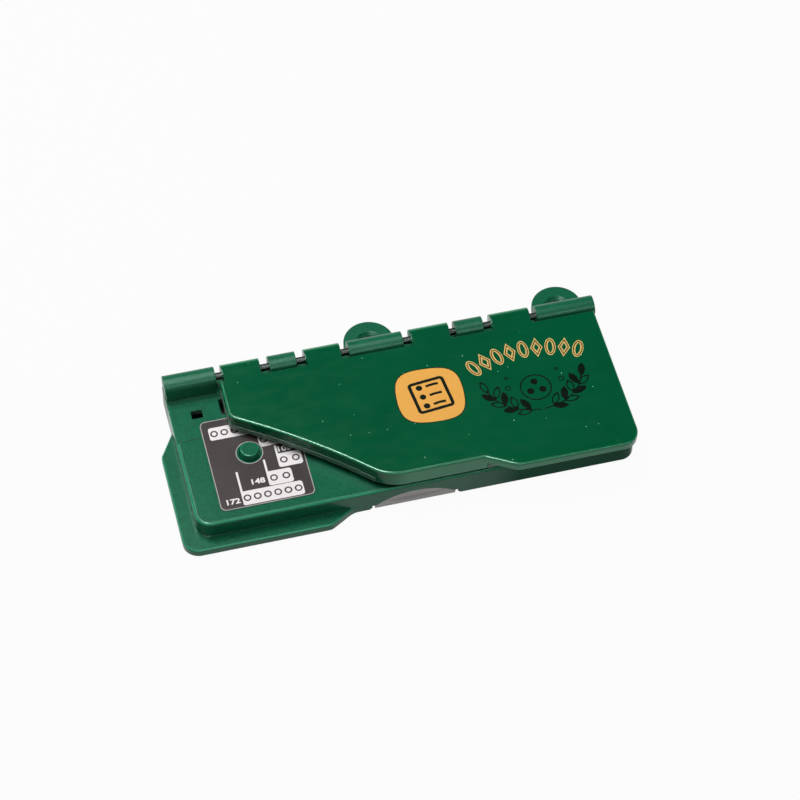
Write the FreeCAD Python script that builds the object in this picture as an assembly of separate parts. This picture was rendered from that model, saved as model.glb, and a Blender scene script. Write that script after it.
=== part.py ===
import FreeCAD, Part
import math
import os

# Mini hole punch. All sizes in millimetres.
# Working frame: x from the left end of the housing, y = 0 on the hinge axis with the front at negative y,
# z = 0 on the lower rim of the housing. Every node is moved to the row frame when it is written.

# Housing
BODY_LENGTH = 178.0
BODY_FRONT = 65.8
DECK_Z = 11.4
DECK_THICK = 2.4
WALL = 2.0
FRONT_CORNER_R = 6.0
DECK_EDGE_R = 1.2
REAR_EDGE_R = 0.35
SEAM_Y = -24.5
SEAM_WIDTH = 0.35
SEAM_DEPTH = 0.25
CAVITY_CORNER_R = 0.5
RIB_WIDTH = 1.2
RIB_BOTTOM_Z = 5.5
RIB_XS = [106.0, 140.0]
LATCH_HOLE = (8.5, 13.0, -14.6, -10.7)

# Corner flange
FLANGE_OUT_LEFT = 6.3
FLANGE_OUT_FRONT = 5.8
FLANGE_THICK = 3.5
FLANGE_RIM = 0.5
FLANGE_REAR_Y = -24.1
FLANGE_ROOT_Y = -13.6
FLANGE_ROOT_IN = 3.0
FLANGE_END_X = 52.1
FLANGE_BLEND_X = 62.1
FLANGE_REAR_R = 3.0
FLANGE_CORNER_R = 6.5
FLANGE_END_R = 5.0
FLANGE_BLEND_R = 8.0

# Hinge
AXIS_Z = 16.8
BARREL_R = 4.2
BLOCK_INSET = 0.35
ROD_R = 1.5
ROD_START_X = 3.0
ROD_END_GAP = 0.8
ROD_CHAMFER = 0.2
BODY_KNUCKLES = [(0.0, 20.8), (42.8, 53.8), (75.5, 97.8), (119.8, 131.3), (153.7, BODY_LENGTH)]
LEVER_KNUCKLES = [(23.5, 39.1), (57.5, 72.1), (101.2, 117.1), (134.7, 150.8)]
OPEN_ANGLE = 15.0

# Binder ears
EAR_PITCH = 80.0
EAR_OVERHANG = 0.1
EAR_Y = 13.4
EAR_R = 10.5
EAR_THICK = 3.0
EAR_CHAMFER = 0.3
EYELET_R = 4.0
EYELET_DISH_R = 5.4
EYELET_DISH_DEPTH = 1.2

# Lever
LEVER_TOP_Z = AXIS_Z + BARREL_R
LEVER_BOTTOM_Z = 13.3
LEVER_SPLIT_Z = 15.8
LEVER_LEFT_X = 21.8
LEVER_END_GAP = 1.3
LEVER_RIGHT_X = BODY_LENGTH - LEVER_END_GAP
LEVER_REAR_Y = -6.0
DIAGONAL_START_Y = -23.6
DIAGONAL_HOLLOW = 3.1
DIAGONAL_END_X = 75.7
LEVER_FRONT_Y = -66.0
STEP_START_X = 114.5
STEP_END_X = 126.5
LIP_FRONT_Y = -72.8
LIP_UNDER_Z = 17.3
LEFT_CORNER_R = 3.6
DIAGONAL_END_R = 17.6
STEP_START_R = 1.6
STEP_END_R = 5.0
LIP_CORNER_R = 7.0
COVER_THICK = 1.4
COVER_EDGE_R = 0.9
FRAME_PROUD = 0.2
FRAME_RIM = 2.6
FRAME_WEB = 1.2
FRAME_CORNER_R = 3.0
COVER_BAND_START_X = 71.8
COVER_BAND_END_X = 116.0
COVER_BAND_REACH = 16.0

# Punch mechanism
PIN_COUNT = 3
PIN_PITCH = 19.0
PIN_FIRST_X = 41.9
PIN_Y = -13.2
PIN_R = 2.75
PIN_TRAVEL = 3.27
PIN_TOP_Z = 18.15
GRIND_R = 4.0
GRIND_DEPTH = 0.8
PAPER_GAP = 1.5
STOP_Y = -8.0
STEEL = 1.5
FOLD_R = 1.35
FRAME_END = 7.0
PUNCH_FRAME_FRONT_Y = -16.9
CHIP_HOLE_HALF = 3.4
CLIP_Z = 17.0
CLIP_THICK = 0.6
CLIP_HALF = 4.2
GROOVE_DEPTH = 0.55
SPRING_WIRE = 0.36
SPRING_R = 3.6
SPRING_TURNS = 2.5
SPRING_STEPS = 14

# Presser bar
PRESSER_END = 10.9
PRESSER_Y0 = -17.0
PRESSER_Y1 = -9.5
PRESSER_THICK = 0.8
PRESSER_RIB_R = 1.0
PRESSER_RIB_END = 5.0
PRESSER_GAP = 0.05
POCKET_WALL = 1.2
WINDOW_SIDE = 1.5
WINDOW_FRONT = 2.6

# Hooks that limit the opening
HOOK_THICK = 2.5
HOOK_LEFT_X = LEVER_LEFT_X + 0.5
HOOK_RIGHT_X = LEVER_RIGHT_X - 5.7
HOOK_R0 = 11.0
HOOK_R1 = 13.5
HOOK_BARB_Y = -17.2
HOOK_BARB_THICK = 2.0
HOOK_ROOT = 0.5
SLOT_GAP = 0.7
SLOT_FAR_GAP = 2.0
SLOT_REAR_Y = -7.3
SLOT_FRONT_Y = -15.0

# Chip tray
TRAY_FLOOR_Z = 0.15
TRAY_FLOOR_THICK = 1.2
TRAY_WALL = 1.2
TRAY_WALL_TOP = 3.4
TRAY_CLEAR = 0.2
TRAY_SIDE_CLEAR = 0.4
TRAY_CORNER_R = 4.0
TRAY_REAR_R = 0.5
TRAY_RIB_XS = [64.0, 120.0]
TRAY_RIB_WIDTH = 1.0
TRAY_RIB_TOP = 2.6
TRAY_AXIS_Y = -0.8
TRAY_AXIS_Z = 2.2
TRAY_PIN_R = 1.0
TRAY_PIN_REACH = 1.0
TRAY_HOLE_SKIN = 0.8
TAB_X = 87.05
TAB_HALF = 16.3
TAB_CHORD = 18.5
TAB_HEIGHT = 7.2
TAB_CLEAR = 0.25
TAB_SCOOP_DEPTH = 1.1
TAB_SCOOP_Z = 4.2
TAB_SCOOP_HALF_Z = 2.5
TAB_SCOOP_HALF_X = 14.0
TAB_TIE_HALF = 11.0
TAB_TIE_TOP = 3.0
NOTCH_WIDTH = 1.1
NOTCH_HEIGHT = 2.2

# Side stop button
BUTTON_X = 27.0
BUTTON_Y = -35.9
BUTTON_R = 4.0
BUTTON_PROUD = 2.8
BUTTON_EDGE = 0.4
BUTTON_FLANGE_R = 5.5
BUTTON_FLANGE_THICK = 1.2
BUTTON_BORE_R = 2.7
BUTTON_ROOF = 1.6
BUTTON_SPRING_R = BUTTON_BORE_R - 0.5
BUTTON_SPRING_TURNS = 3.0
RETAINER_THICK = 1.0
RETAINER_TOP_Z = 4.6
RETAINER_HALF = 8.8
PILOT_R = 1.5
PILOT_HEIGHT = 1.2

# Gauge label
LABEL_X0 = 10.45
LABEL_X1 = 48.2
LABEL_Y0 = -61.1
LABEL_Y1 = -17.1
LABEL_THICK = 0.2
LABEL_CORNER_R = 2.4
LABEL_HOLE_R = 5.07

# Pads
PAD_HALF_X = 6.0
PAD_HALF_Y = 3.0
PAD_PROUD = 0.4
PAD_SIDE = 12.0
PAD_FRONT = 10.8
PAD_REAR_Y = -8.0

# Fits
RUN = 0.05
SEAT = 0.02
SLIP = 0.1

# Screws
SCREW_R = 1.25
SCREW_HEAD_R = 2.2
SCREW_HEAD_THICK = 1.1
SCREW_TIP_GAP = 0.4
BOSS_R = 2.6
LEVER_SCREWS = [(27.1, -15.0), (LEVER_RIGHT_X - 8.7, -16.5), (132.0, -56.0)]
FRAME_SCREW_R = 1.2
SINK_DEPTH = 1.0
SCREW_SLOT = 0.5

PIN_XS = [PIN_FIRST_X + PIN_PITCH * i for i in range(PIN_COUNT)]
FRAME_SCREW_XS = [PIN_FIRST_X + PIN_PITCH * (i + 0.5) for i in range(PIN_COUNT - 1)]
PUNCH_FRAME_X0 = PIN_XS[0] - FRAME_END
PUNCH_FRAME_X1 = PIN_XS[-1] + FRAME_END
PRESSER_X0 = PIN_XS[0] - PRESSER_END
PRESSER_X1 = PIN_XS[-1] + PRESSER_END
EAR_LAST_X = BODY_LENGTH + EAR_OVERHANG - EAR_R
EAR_XS = [EAR_LAST_X - EAR_PITCH, EAR_LAST_X]
RETAINER_XS = [BUTTON_X - RETAINER_HALF, BUTTON_X + RETAINER_HALF]
PAD_SPOTS = [(x, y) for x in (PAD_SIDE, BODY_LENGTH - PAD_SIDE) for y in (PAD_FRONT - BODY_FRONT, PAD_REAR_Y)]
GUIDE_Z = DECK_Z + PAPER_GAP
GUIDE_TOP_Z = GUIDE_Z + STEEL
DIE_Z = DECK_Z - STEEL
DECK_UNDER_Z = DECK_Z - DECK_THICK
COVER_UNDER_Z = LEVER_TOP_Z - COVER_THICK
FRAME_WEB_Z = LEVER_SPLIT_Z - FRAME_WEB
PIN_TIP_Z = GUIDE_Z + SLIP - PIN_TRAVEL
BUTTON_TOP_Z = DECK_Z + BUTTON_PROUD

# Centre of the whole object in x and y, and its lowest point
CENTRE_X = (BODY_LENGTH - FLANGE_OUT_LEFT) / 2.0
CENTRE_Y = (LIP_FRONT_Y + EAR_Y + EAR_R) / 2.0
TO_ROW = FreeCAD.Vector(-CENTRE_X, -CENTRE_Y, PAD_PROUD)


def vec(x, y, z):
    return FreeCAD.Vector(x, y, z)


def box(x0, x1, y0, y1, z0, z1):
    return Part.makeBox(x1 - x0, y1 - y0, z1 - z0, vec(x0, y0, z0))


def cyl_z(x, y, r, z0, z1):
    return Part.makeCylinder(r, z1 - z0, vec(x, y, z0), vec(0, 0, 1))


def cyl_x(y, z, r, x0, x1):
    return Part.makeCylinder(r, x1 - x0, vec(x0, y, z), vec(1, 0, 0))


def cone_z(x, y, r0, r1, z0, z1):
    return Part.makeCone(r0, r1, z1 - z0, vec(x, y, z0), vec(0, 0, 1))


def rounded_face(corners):
    """Flat face at z = 0 from (x, y, corner radius) points."""
    count = len(corners)
    edges = []
    ends = []
    for i in range(count):
        here = vec(corners[i][0], corners[i][1], 0)
        before = vec(corners[i - 1][0], corners[i - 1][1], 0)
        after = vec(corners[(i + 1) % count][0], corners[(i + 1) % count][1], 0)
        radius = corners[i][2]
        if radius <= 0:
            ends.append((here, here, None))
            continue
        to_before = (before - here).normalize()
        to_after = (after - here).normalize()
        half = to_before.getAngle(to_after) / 2.0
        reach = radius / math.tan(half)
        bisector = (to_before + to_after).normalize()
        middle = here + bisector * (radius / math.sin(half) - radius)
        ends.append((here + to_before * reach, here + to_after * reach, middle))
    for i in range(count):
        start, stop, middle = ends[i]
        if middle is not None:
            edges.append(Part.Arc(start, middle, stop).toShape())
        following = ends[(i + 1) % count][0]
        if (following - stop).Length > 1e-6:
            edges.append(Part.makeLine(stop, following))
    return Part.Face(Part.Wire(edges))


def prism(face, z0, z1):
    lifted = face.copy()
    lifted.translate(vec(0, 0, z0))
    return lifted.extrude(vec(0, 0, z1 - z0))


def inset(face, distance):
    return face.makeOffset2D(-distance, 0, False, False, True)


def edges_at_height(shape, z, keep):
    """Edges lying flat at height z whose middle point passes the test keep(x, y)."""
    chosen = []
    for edge in shape.Edges:
        bounds = edge.BoundBox
        if abs(bounds.ZMin - z) < 1e-4 and abs(bounds.ZMax - z) < 1e-4:
            middle = edge.valueAt((edge.FirstParameter + edge.LastParameter) / 2.0)
            if keep(middle.x, middle.y):
                chosen.append(edge)
    return chosen


def save(shape, node):
    placed = shape.copy()
    placed.translate(TO_ROW)
    placed.exportStep("parts/" + node + ".step")


# Housing


def body_blocks():
    """Deck block in front of the seam with rounded edges, and the sharper block behind it."""
    front = prism(rounded_face([
        (0, SEAM_Y, 0),
        (0, -BODY_FRONT, FRONT_CORNER_R),
        (BODY_LENGTH, -BODY_FRONT, FRONT_CORNER_R),
        (BODY_LENGTH, SEAM_Y, 0),
    ]), 0, DECK_Z)
    front = front.makeFillet(DECK_EDGE_R, edges_at_height(front, DECK_Z, lambda x, y: y < SEAM_Y - 0.01))
    rear = box(0, BODY_LENGTH, SEAM_Y, BARREL_R, 0, DECK_Z)
    sides = edges_at_height(rear, DECK_Z, lambda x, y: x < 0.01 or x > BODY_LENGTH - 0.01)
    rear = rear.makeFillet(REAR_EDGE_R, sides)
    seam = box(-WALL, BODY_LENGTH + WALL, SEAM_Y - SEAM_WIDTH / 2.0, SEAM_Y + SEAM_WIDTH / 2.0,
               DECK_Z - SEAM_DEPTH, DECK_Z + WALL)
    return front.fuse(rear).cut(seam)


def corner_flange():
    slope = (FLANGE_ROOT_Y - FLANGE_REAR_Y) / FLANGE_OUT_LEFT
    inner_x = FLANGE_BLEND_X + FLANGE_BLEND_R
    flange = prism(rounded_face([
        (FLANGE_ROOT_IN, FLANGE_ROOT_Y + FLANGE_ROOT_IN * slope, 0),
        (-FLANGE_OUT_LEFT, FLANGE_REAR_Y, FLANGE_REAR_R),
        (-FLANGE_OUT_LEFT, -BODY_FRONT - FLANGE_OUT_FRONT, FLANGE_CORNER_R),
        (FLANGE_END_X, -BODY_FRONT - FLANGE_OUT_FRONT, FLANGE_END_R),
        (FLANGE_BLEND_X, -BODY_FRONT, FLANGE_BLEND_R),
        (inner_x, -BODY_FRONT, 0),
        (inner_x, -BODY_FRONT + WALL, 0),
        (FLANGE_ROOT_IN, -BODY_FRONT + WALL, 0),
    ]), 0, FLANGE_THICK)
    rim = edges_at_height(flange, FLANGE_THICK, lambda x, y: x < -0.01 or y < -BODY_FRONT - 0.01)
    return flange.makeChamfer(FLANGE_RIM, rim)


def binder_ears():
    """Two round ears behind the housing, each with a dished eyelet for a binder's ring."""
    ears = None
    for x in EAR_XS:
        neck = box(x - EAR_R, x + EAR_R, BARREL_R - WALL / 2.0, EAR_Y, 0, EAR_THICK)
        ear = cyl_z(x, EAR_Y, EAR_R, 0, EAR_THICK).fuse(neck).removeSplitter()
        ear = ear.makeChamfer(EAR_CHAMFER, edges_at_height(ear, EAR_THICK, lambda ex, ey: ey > BARREL_R))
        dish = cone_z(x, EAR_Y, EYELET_R, EYELET_DISH_R, EAR_THICK - EYELET_DISH_DEPTH, EAR_THICK)
        ear = ear.cut(cyl_z(x, EAR_Y, EYELET_R, 0, EAR_THICK)).cut(dish)
        ears = ear if ears is None else ears.fuse(ear)
    return ears


def body_knuckles():
    knuckles = []
    for x0, x1 in BODY_KNUCKLES:
        block = box(x0 + BLOCK_INSET, x1 - BLOCK_INSET, -BARREL_R, BARREL_R, DECK_UNDER_Z, AXIS_Z)
        knuckles.append(cyl_x(0, AXIS_Z, BARREL_R, x0, x1).fuse(block))
    return knuckles


def arch(clear, y0, y1):
    """Circle segment standing on the lower rim, extruded through the front wall."""
    radius = (TAB_CHORD ** 2 + TAB_HEIGHT ** 2) / (2.0 * TAB_HEIGHT)
    centre_z = TAB_HEIGHT - radius
    disc = Part.makeCylinder(radius - clear, y1 - y0, vec(TAB_X, y0, centre_z), vec(0, 1, 0))
    return disc.common(box(TAB_X - radius, TAB_X + radius, y0, y1, TRAY_FLOOR_Z if clear else -WALL, radius))


def thumb_scoop():
    """Barrel whose bulge sinks into the tab's front and runs out towards the tab's ends."""
    bulge = (TAB_SCOOP_HALF_Z ** 2 + TAB_SCOOP_DEPTH ** 2) / (2.0 * TAB_SCOOP_DEPTH)
    sweep = (TAB_SCOOP_HALF_X ** 2 + TAB_SCOOP_DEPTH ** 2) / (2.0 * TAB_SCOOP_DEPTH)
    axis_y = -BODY_FRONT - bulge + TAB_SCOOP_DEPTH
    end_x = TAB_SCOOP_HALF_X + WALL
    end_y = axis_y + bulge - sweep + math.sqrt(sweep ** 2 - end_x ** 2)
    axis = [vec(TAB_X + side * end_x, axis_y, TAB_SCOOP_Z) for side in (-1, 1)]
    rim = [vec(TAB_X + side * end_x, end_y, TAB_SCOOP_Z) for side in (-1, 1)]
    middle = vec(TAB_X, axis_y + bulge, TAB_SCOOP_Z)
    profile = Part.Wire([
        Part.makeLine(axis[1], axis[0]),
        Part.makeLine(axis[0], rim[0]),
        Part.Arc(rim[0], middle, rim[1]).toShape(),
        Part.makeLine(rim[1], axis[1]),
    ])
    return Part.Face(profile).revolve(axis[0], vec(1, 0, 0), 360)


def deck_openings():
    through = (DECK_UNDER_Z - WALL, DECK_Z + WALL)
    cuts = [
        box(HOOK_LEFT_X - SLOT_FAR_GAP, HOOK_LEFT_X + HOOK_THICK + SLOT_GAP, SLOT_FRONT_Y, SLOT_REAR_Y, *through),
        box(HOOK_RIGHT_X - SLOT_GAP, HOOK_RIGHT_X + HOOK_THICK + SLOT_GAP, SLOT_FRONT_Y, SLOT_REAR_Y, *through),
        box(*LATCH_HOLE, *through),
        box(PUNCH_FRAME_X0 - RUN, PUNCH_FRAME_X1 + RUN, PUNCH_FRAME_FRONT_Y - RUN, STOP_Y + STEEL + RUN,
            DIE_Z, DECK_Z + WALL),
        cyl_z(BUTTON_X, BUTTON_Y, BUTTON_R + RUN, *through),
        cone_z(BUTTON_X, BUTTON_Y, BUTTON_R + RUN, BUTTON_R + RUN + BUTTON_EDGE, DECK_Z - BUTTON_EDGE, DECK_Z),
    ]
    for x in PIN_XS:
        cuts.append(box(x - CHIP_HOLE_HALF, x + CHIP_HOLE_HALF, PIN_Y - CHIP_HOLE_HALF, PIN_Y + CHIP_HOLE_HALF,
                        DECK_UNDER_Z - WALL, DIE_Z))
    for x in FRAME_SCREW_XS:
        cuts.append(cyl_z(x, PIN_Y, FRAME_SCREW_R + SEAT, RETAINER_TOP_Z + SCREW_TIP_GAP, DIE_Z))
    for x in RETAINER_XS:
        cuts.append(cyl_z(x, BUTTON_Y, SCREW_R + SEAT, RETAINER_TOP_Z, DECK_UNDER_Z))
    return cuts


def front_and_side_openings():
    """Arch for the thumb tab with a small notch at each foot, and the blind holes for the tray's pivots."""
    y0 = -BODY_FRONT - WALL
    y1 = -BODY_FRONT + WALL + TAB_CLEAR
    cuts = [arch(0, y0, y1)]
    for x in (TAB_X - TAB_HALF - NOTCH_WIDTH, TAB_X + TAB_HALF):
        cuts.append(box(x, x + NOTCH_WIDTH, y0, y1, -WALL, NOTCH_HEIGHT))
    for x0, x1 in ((TRAY_HOLE_SKIN, WALL), (BODY_LENGTH - WALL, BODY_LENGTH - TRAY_HOLE_SKIN)):
        cuts.append(cyl_x(TRAY_AXIS_Y, TRAY_AXIS_Z, TRAY_PIN_R + RUN, x0, x1))
    return cuts


def body_housing():
    body = body_blocks().fuse(corner_flange()).fuse(binder_ears())
    inner_r = FRONT_CORNER_R - WALL
    cavity = prism(rounded_face([
        (WALL, BARREL_R - WALL, CAVITY_CORNER_R),
        (WALL, -BODY_FRONT + WALL, inner_r),
        (BODY_LENGTH - WALL, -BODY_FRONT + WALL, inner_r),
        (BODY_LENGTH - WALL, BARREL_R - WALL, CAVITY_CORNER_R),
    ]), -WALL, DECK_UNDER_Z)
    body = body.cut(cavity)
    for one in body_knuckles():
        body = body.fuse(one)
    body = body.cut(cyl_x(0, AXIS_Z, ROD_R + SEAT, ROD_START_X, BODY_LENGTH + WALL))
    for x in FRAME_SCREW_XS:
        body = body.fuse(cyl_z(x, PIN_Y, BOSS_R, RETAINER_TOP_Z, DIE_Z))
    for x in RETAINER_XS:
        body = body.fuse(cyl_z(x, BUTTON_Y, BOSS_R, RETAINER_TOP_Z, DECK_UNDER_Z))
    for x in RIB_XS:
        body = body.fuse(box(x, x + RIB_WIDTH, -BODY_FRONT + WALL / 2.0, BARREL_R - WALL / 2.0,
                             RIB_BOTTOM_Z, DECK_UNDER_Z))
    for tool in deck_openings() + front_and_side_openings():
        body = body.cut(tool)
    return body.removeSplitter()


def hinge_rod():
    rod = cyl_x(0, AXIS_Z, ROD_R, ROD_START_X + RUN, BODY_LENGTH - ROD_END_GAP)
    return rod.makeChamfer(ROD_CHAMFER, [edge for edge in rod.Edges if edge.BoundBox.XLength < 1e-4])


# Lever


def diagonal_waist(front_y):
    """Corner half way along the hollow diagonal, with the long arc that rounds it off."""
    start = vec(LEVER_LEFT_X, DIAGONAL_START_Y, 0)
    chord = vec(DIAGONAL_END_X, front_y, 0) - start
    half = chord.Length / 2.0
    waist = start + chord * 0.5 + vec(-chord.y, chord.x, 0).normalize() * DIAGONAL_HOLLOW
    return waist.x, waist.y, (half - DIAGONAL_END_R / 2.0) * half / DIAGONAL_HOLLOW


def lever_outline(front_y, with_lip):
    corners = [
        (LEVER_LEFT_X, LEVER_REAR_Y, 0),
        (LEVER_LEFT_X, DIAGONAL_START_Y, LEFT_CORNER_R),
        diagonal_waist(front_y),
        (DIAGONAL_END_X, front_y, DIAGONAL_END_R),
    ]
    if with_lip:
        corners += [
            (STEP_START_X, front_y, STEP_START_R),
            (STEP_END_X, LIP_FRONT_Y, STEP_END_R),
            (LEVER_RIGHT_X, LIP_FRONT_Y, LIP_CORNER_R),
        ]
    else:
        corners.append((LEVER_RIGHT_X, front_y, FRAME_CORNER_R))
    corners.append((LEVER_RIGHT_X, LEVER_REAR_Y, 0))
    return rounded_face(corners)


def lever_fingers(z0):
    """Barrels on the hinge axis with the bridges that tie them to the lever plate."""
    fingers = []
    for x0, x1 in LEVER_KNUCKLES:
        bridge = box(x0 + BLOCK_INSET, x1 - BLOCK_INSET, LEVER_REAR_Y - COVER_THICK, 0, z0, LEVER_TOP_Z)
        fingers.append(cyl_x(0, AXIS_Z, BARREL_R, x0, x1).fuse(bridge))
    return fingers


def cover_front_band(clear, grow):
    """Front stretch of the skirt that reaches down to the lever's lower edge."""
    outer = lever_outline(LEVER_FRONT_Y, False)
    face = inset(outer, -grow) if grow else outer
    ring = prism(face, LEVER_BOTTOM_Z, LEVER_SPLIT_Z).cut(
        prism(inset(outer, COVER_THICK + clear), LEVER_BOTTOM_Z, LEVER_SPLIT_Z))
    return ring.common(box(COVER_BAND_START_X - clear, COVER_BAND_END_X + clear, LEVER_FRONT_Y - COVER_THICK,
                           LEVER_FRONT_Y + COVER_BAND_REACH, LEVER_BOTTOM_Z, LEVER_SPLIT_Z))


def lever_cover():
    full = lever_outline(LEVER_FRONT_Y, True)
    plain = lever_outline(LEVER_FRONT_Y, False)
    shell = prism(full, LIP_UNDER_Z, LEVER_TOP_Z).fuse(prism(plain, LEVER_SPLIT_Z, LEVER_TOP_Z)).removeSplitter()
    top = edges_at_height(shell, LEVER_TOP_Z, lambda x, y: y < LEVER_REAR_Y - COVER_EDGE_R / 2.0)
    shell = shell.makeFillet(COVER_EDGE_R, top)
    hollow = prism(inset(full, COVER_THICK), LIP_UNDER_Z, COVER_UNDER_Z)
    hollow = hollow.fuse(prism(inset(plain, COVER_THICK), LEVER_SPLIT_Z, COVER_UNDER_Z))
    shell = shell.cut(hollow)
    for finger in lever_fingers(LEVER_SPLIT_Z):
        shell = shell.fuse(finger)
    shell = shell.fuse(cover_front_band(0, 0))
    for x, y in LEVER_SCREWS:
        shell = shell.fuse(cyl_z(x, y, BOSS_R, LEVER_SPLIT_Z, COVER_UNDER_Z))
    for x, y in LEVER_SCREWS:
        shell = shell.cut(cyl_z(x, y, SCREW_R + SEAT, LEVER_SPLIT_Z, COVER_UNDER_Z))
    shell = shell.cut(cyl_x(0, AXIS_Z, ROD_R + RUN, 0, BODY_LENGTH))
    return shell.removeSplitter()


def hook(x0):
    """Arm on a circle about the hinge axis; its barb meets the deck from below at the full opening."""
    x1 = x0 + HOOK_THICK
    barb_top = DECK_UNDER_Z - SLIP
    barb_bottom = barb_top - HOOK_BARB_THICK
    # shaped as it stands with the lever open, then turned back to the closed position
    arm = cyl_x(0, AXIS_Z, HOOK_R1, x0, x1).cut(cyl_x(0, AXIS_Z, HOOK_R0, x0, x1))
    arm = arm.common(box(x0, x1, -HOOK_R1, 0, barb_bottom, AXIS_Z + HOOK_R1))
    barb = box(x0, x1, HOOK_BARB_Y, -HOOK_R0 + HOOK_BARB_THICK, barb_bottom, barb_top)
    hooked = arm.fuse(barb)
    hooked.rotate(vec(0, 0, AXIS_Z), vec(1, 0, 0), OPEN_ANGLE)
    return hooked.common(box(x0, x1, -2.0 * HOOK_R1, 0, 0, FRAME_WEB_Z + HOOK_ROOT))


def presser_pocket_block(x0, x1):
    return box(x0, x1, PRESSER_Y0 - POCKET_WALL, PRESSER_Y1 + POCKET_WALL, FRAME_WEB_Z, COVER_UNDER_Z - SLIP)


def lever_frame():
    plain = lever_outline(LEVER_FRONT_Y, False)
    outer = inset(plain, -FRAME_PROUD)
    rim = prism(outer, LEVER_BOTTOM_Z, LEVER_SPLIT_Z).cut(
        prism(inset(plain, FRAME_RIM), LEVER_BOTTOM_Z, LEVER_SPLIT_Z))
    frame = rim.fuse(prism(outer, FRAME_WEB_Z, LEVER_SPLIT_Z))
    frame = frame.cut(cover_front_band(SLIP, COVER_THICK / 2.0))
    x0 = PUNCH_FRAME_X0 - WINDOW_SIDE
    x1 = PUNCH_FRAME_X1 + WINDOW_SIDE
    frame = frame.cut(box(x0, x1, PUNCH_FRAME_FRONT_Y - WINDOW_FRONT, 0, 0, LEVER_TOP_Z))
    frame = frame.fuse(presser_pocket_block(PRESSER_X0 - POCKET_WALL, x0))
    frame = frame.fuse(presser_pocket_block(x1, PRESSER_X1 + POCKET_WALL))
    frame = frame.cut(box(PRESSER_X0 - RUN, PRESSER_X1 + RUN, PRESSER_Y0 - RUN, PRESSER_Y1 + RUN,
                          COVER_UNDER_Z - PRESSER_THICK, LEVER_TOP_Z))
    frame = frame.fuse(hook(HOOK_LEFT_X)).fuse(hook(HOOK_RIGHT_X))
    for x, y in LEVER_SCREWS:
        frame = frame.cut(cyl_z(x, y, SCREW_R + SLIP, FRAME_WEB_Z, LEVER_SPLIT_Z))
    return frame.removeSplitter()


def presser_bar():
    bar = box(PRESSER_X0, PRESSER_X1, PRESSER_Y0, PRESSER_Y1, COVER_UNDER_Z - PRESSER_THICK, COVER_UNDER_Z)
    rib_z = PIN_TOP_Z + PRESSER_GAP + PRESSER_RIB_R
    rib = cyl_x(PIN_Y, rib_z, PRESSER_RIB_R, PIN_XS[0] - PRESSER_RIB_END, PIN_XS[-1] + PRESSER_RIB_END)
    rib = rib.common(box(PRESSER_X0, PRESSER_X1, PRESSER_Y0, PRESSER_Y1, 0, COVER_UNDER_Z - PRESSER_THICK / 2.0))
    return bar.fuse(rib).removeSplitter()


def head_down_screw(x, y, seat_z, tip_z):
    """Screw driven from below: the head lies under seat_z and the shank runs up to tip_z."""
    head = cyl_z(x, y, SCREW_HEAD_R, seat_z - SCREW_HEAD_THICK, seat_z)
    slot = box(x - SCREW_HEAD_R, x + SCREW_HEAD_R, y - SCREW_SLOT / 2.0, y + SCREW_SLOT / 2.0,
               seat_z - SCREW_HEAD_THICK, seat_z - SCREW_HEAD_THICK + SCREW_SLOT)
    return head.cut(slot).fuse(cyl_z(x, y, SCREW_R, seat_z, tip_z))


def lever_screws():
    return Part.makeCompound([
        head_down_screw(x, y, FRAME_WEB_Z, COVER_UNDER_Z - SCREW_TIP_GAP) for x, y in LEVER_SCREWS])


# Punch mechanism


def punch_frame():
    """Folded steel channel: die below, guide above, and the fold at the back is the paper stop."""
    rear = STOP_Y + STEEL
    block = box(PUNCH_FRAME_X0, PUNCH_FRAME_X1, PUNCH_FRAME_FRONT_Y, rear, DIE_Z, GUIDE_TOP_Z)
    folds = [edge for edge in block.Edges
             if edge.BoundBox.XLength > 1.0 and abs(edge.BoundBox.YMin - rear) < 1e-4]
    block = block.makeFillet(FOLD_R, folds)
    frame = block.cut(box(PUNCH_FRAME_X0, PUNCH_FRAME_X1, PUNCH_FRAME_FRONT_Y, STOP_Y, DECK_Z, GUIDE_Z))
    for x in PIN_XS:
        frame = frame.cut(cyl_z(x, PIN_Y, PIN_R + RUN, DIE_Z, GUIDE_TOP_Z))
    for x in FRAME_SCREW_XS:
        frame = frame.cut(cyl_z(x, PIN_Y, SCREW_HEAD_R + SLIP, GUIDE_Z, GUIDE_TOP_Z))
        frame = frame.cut(cyl_z(x, PIN_Y, FRAME_SCREW_R + SLIP, DIE_Z, DECK_Z))
        frame = frame.cut(cone_z(x, PIN_Y, FRAME_SCREW_R + SEAT, SCREW_HEAD_R + SEAT, DECK_Z - SINK_DEPTH, DECK_Z))
    return frame


def frame_screws():
    screws = []
    for x in FRAME_SCREW_XS:
        head = cone_z(x, PIN_Y, FRAME_SCREW_R, SCREW_HEAD_R, DECK_Z - SINK_DEPTH, DECK_Z)
        shank = cyl_z(x, PIN_Y, FRAME_SCREW_R, RETAINER_TOP_Z + 2.0 * SCREW_TIP_GAP, DECK_Z - SINK_DEPTH)
        slot = box(x - SCREW_HEAD_R, x + SCREW_HEAD_R, PIN_Y - SCREW_SLOT / 2.0, PIN_Y + SCREW_SLOT / 2.0,
                   DECK_Z - SCREW_SLOT, DECK_Z)
        screws.append(head.fuse(shank).cut(slot))
    return Part.makeCompound(screws)


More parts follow.
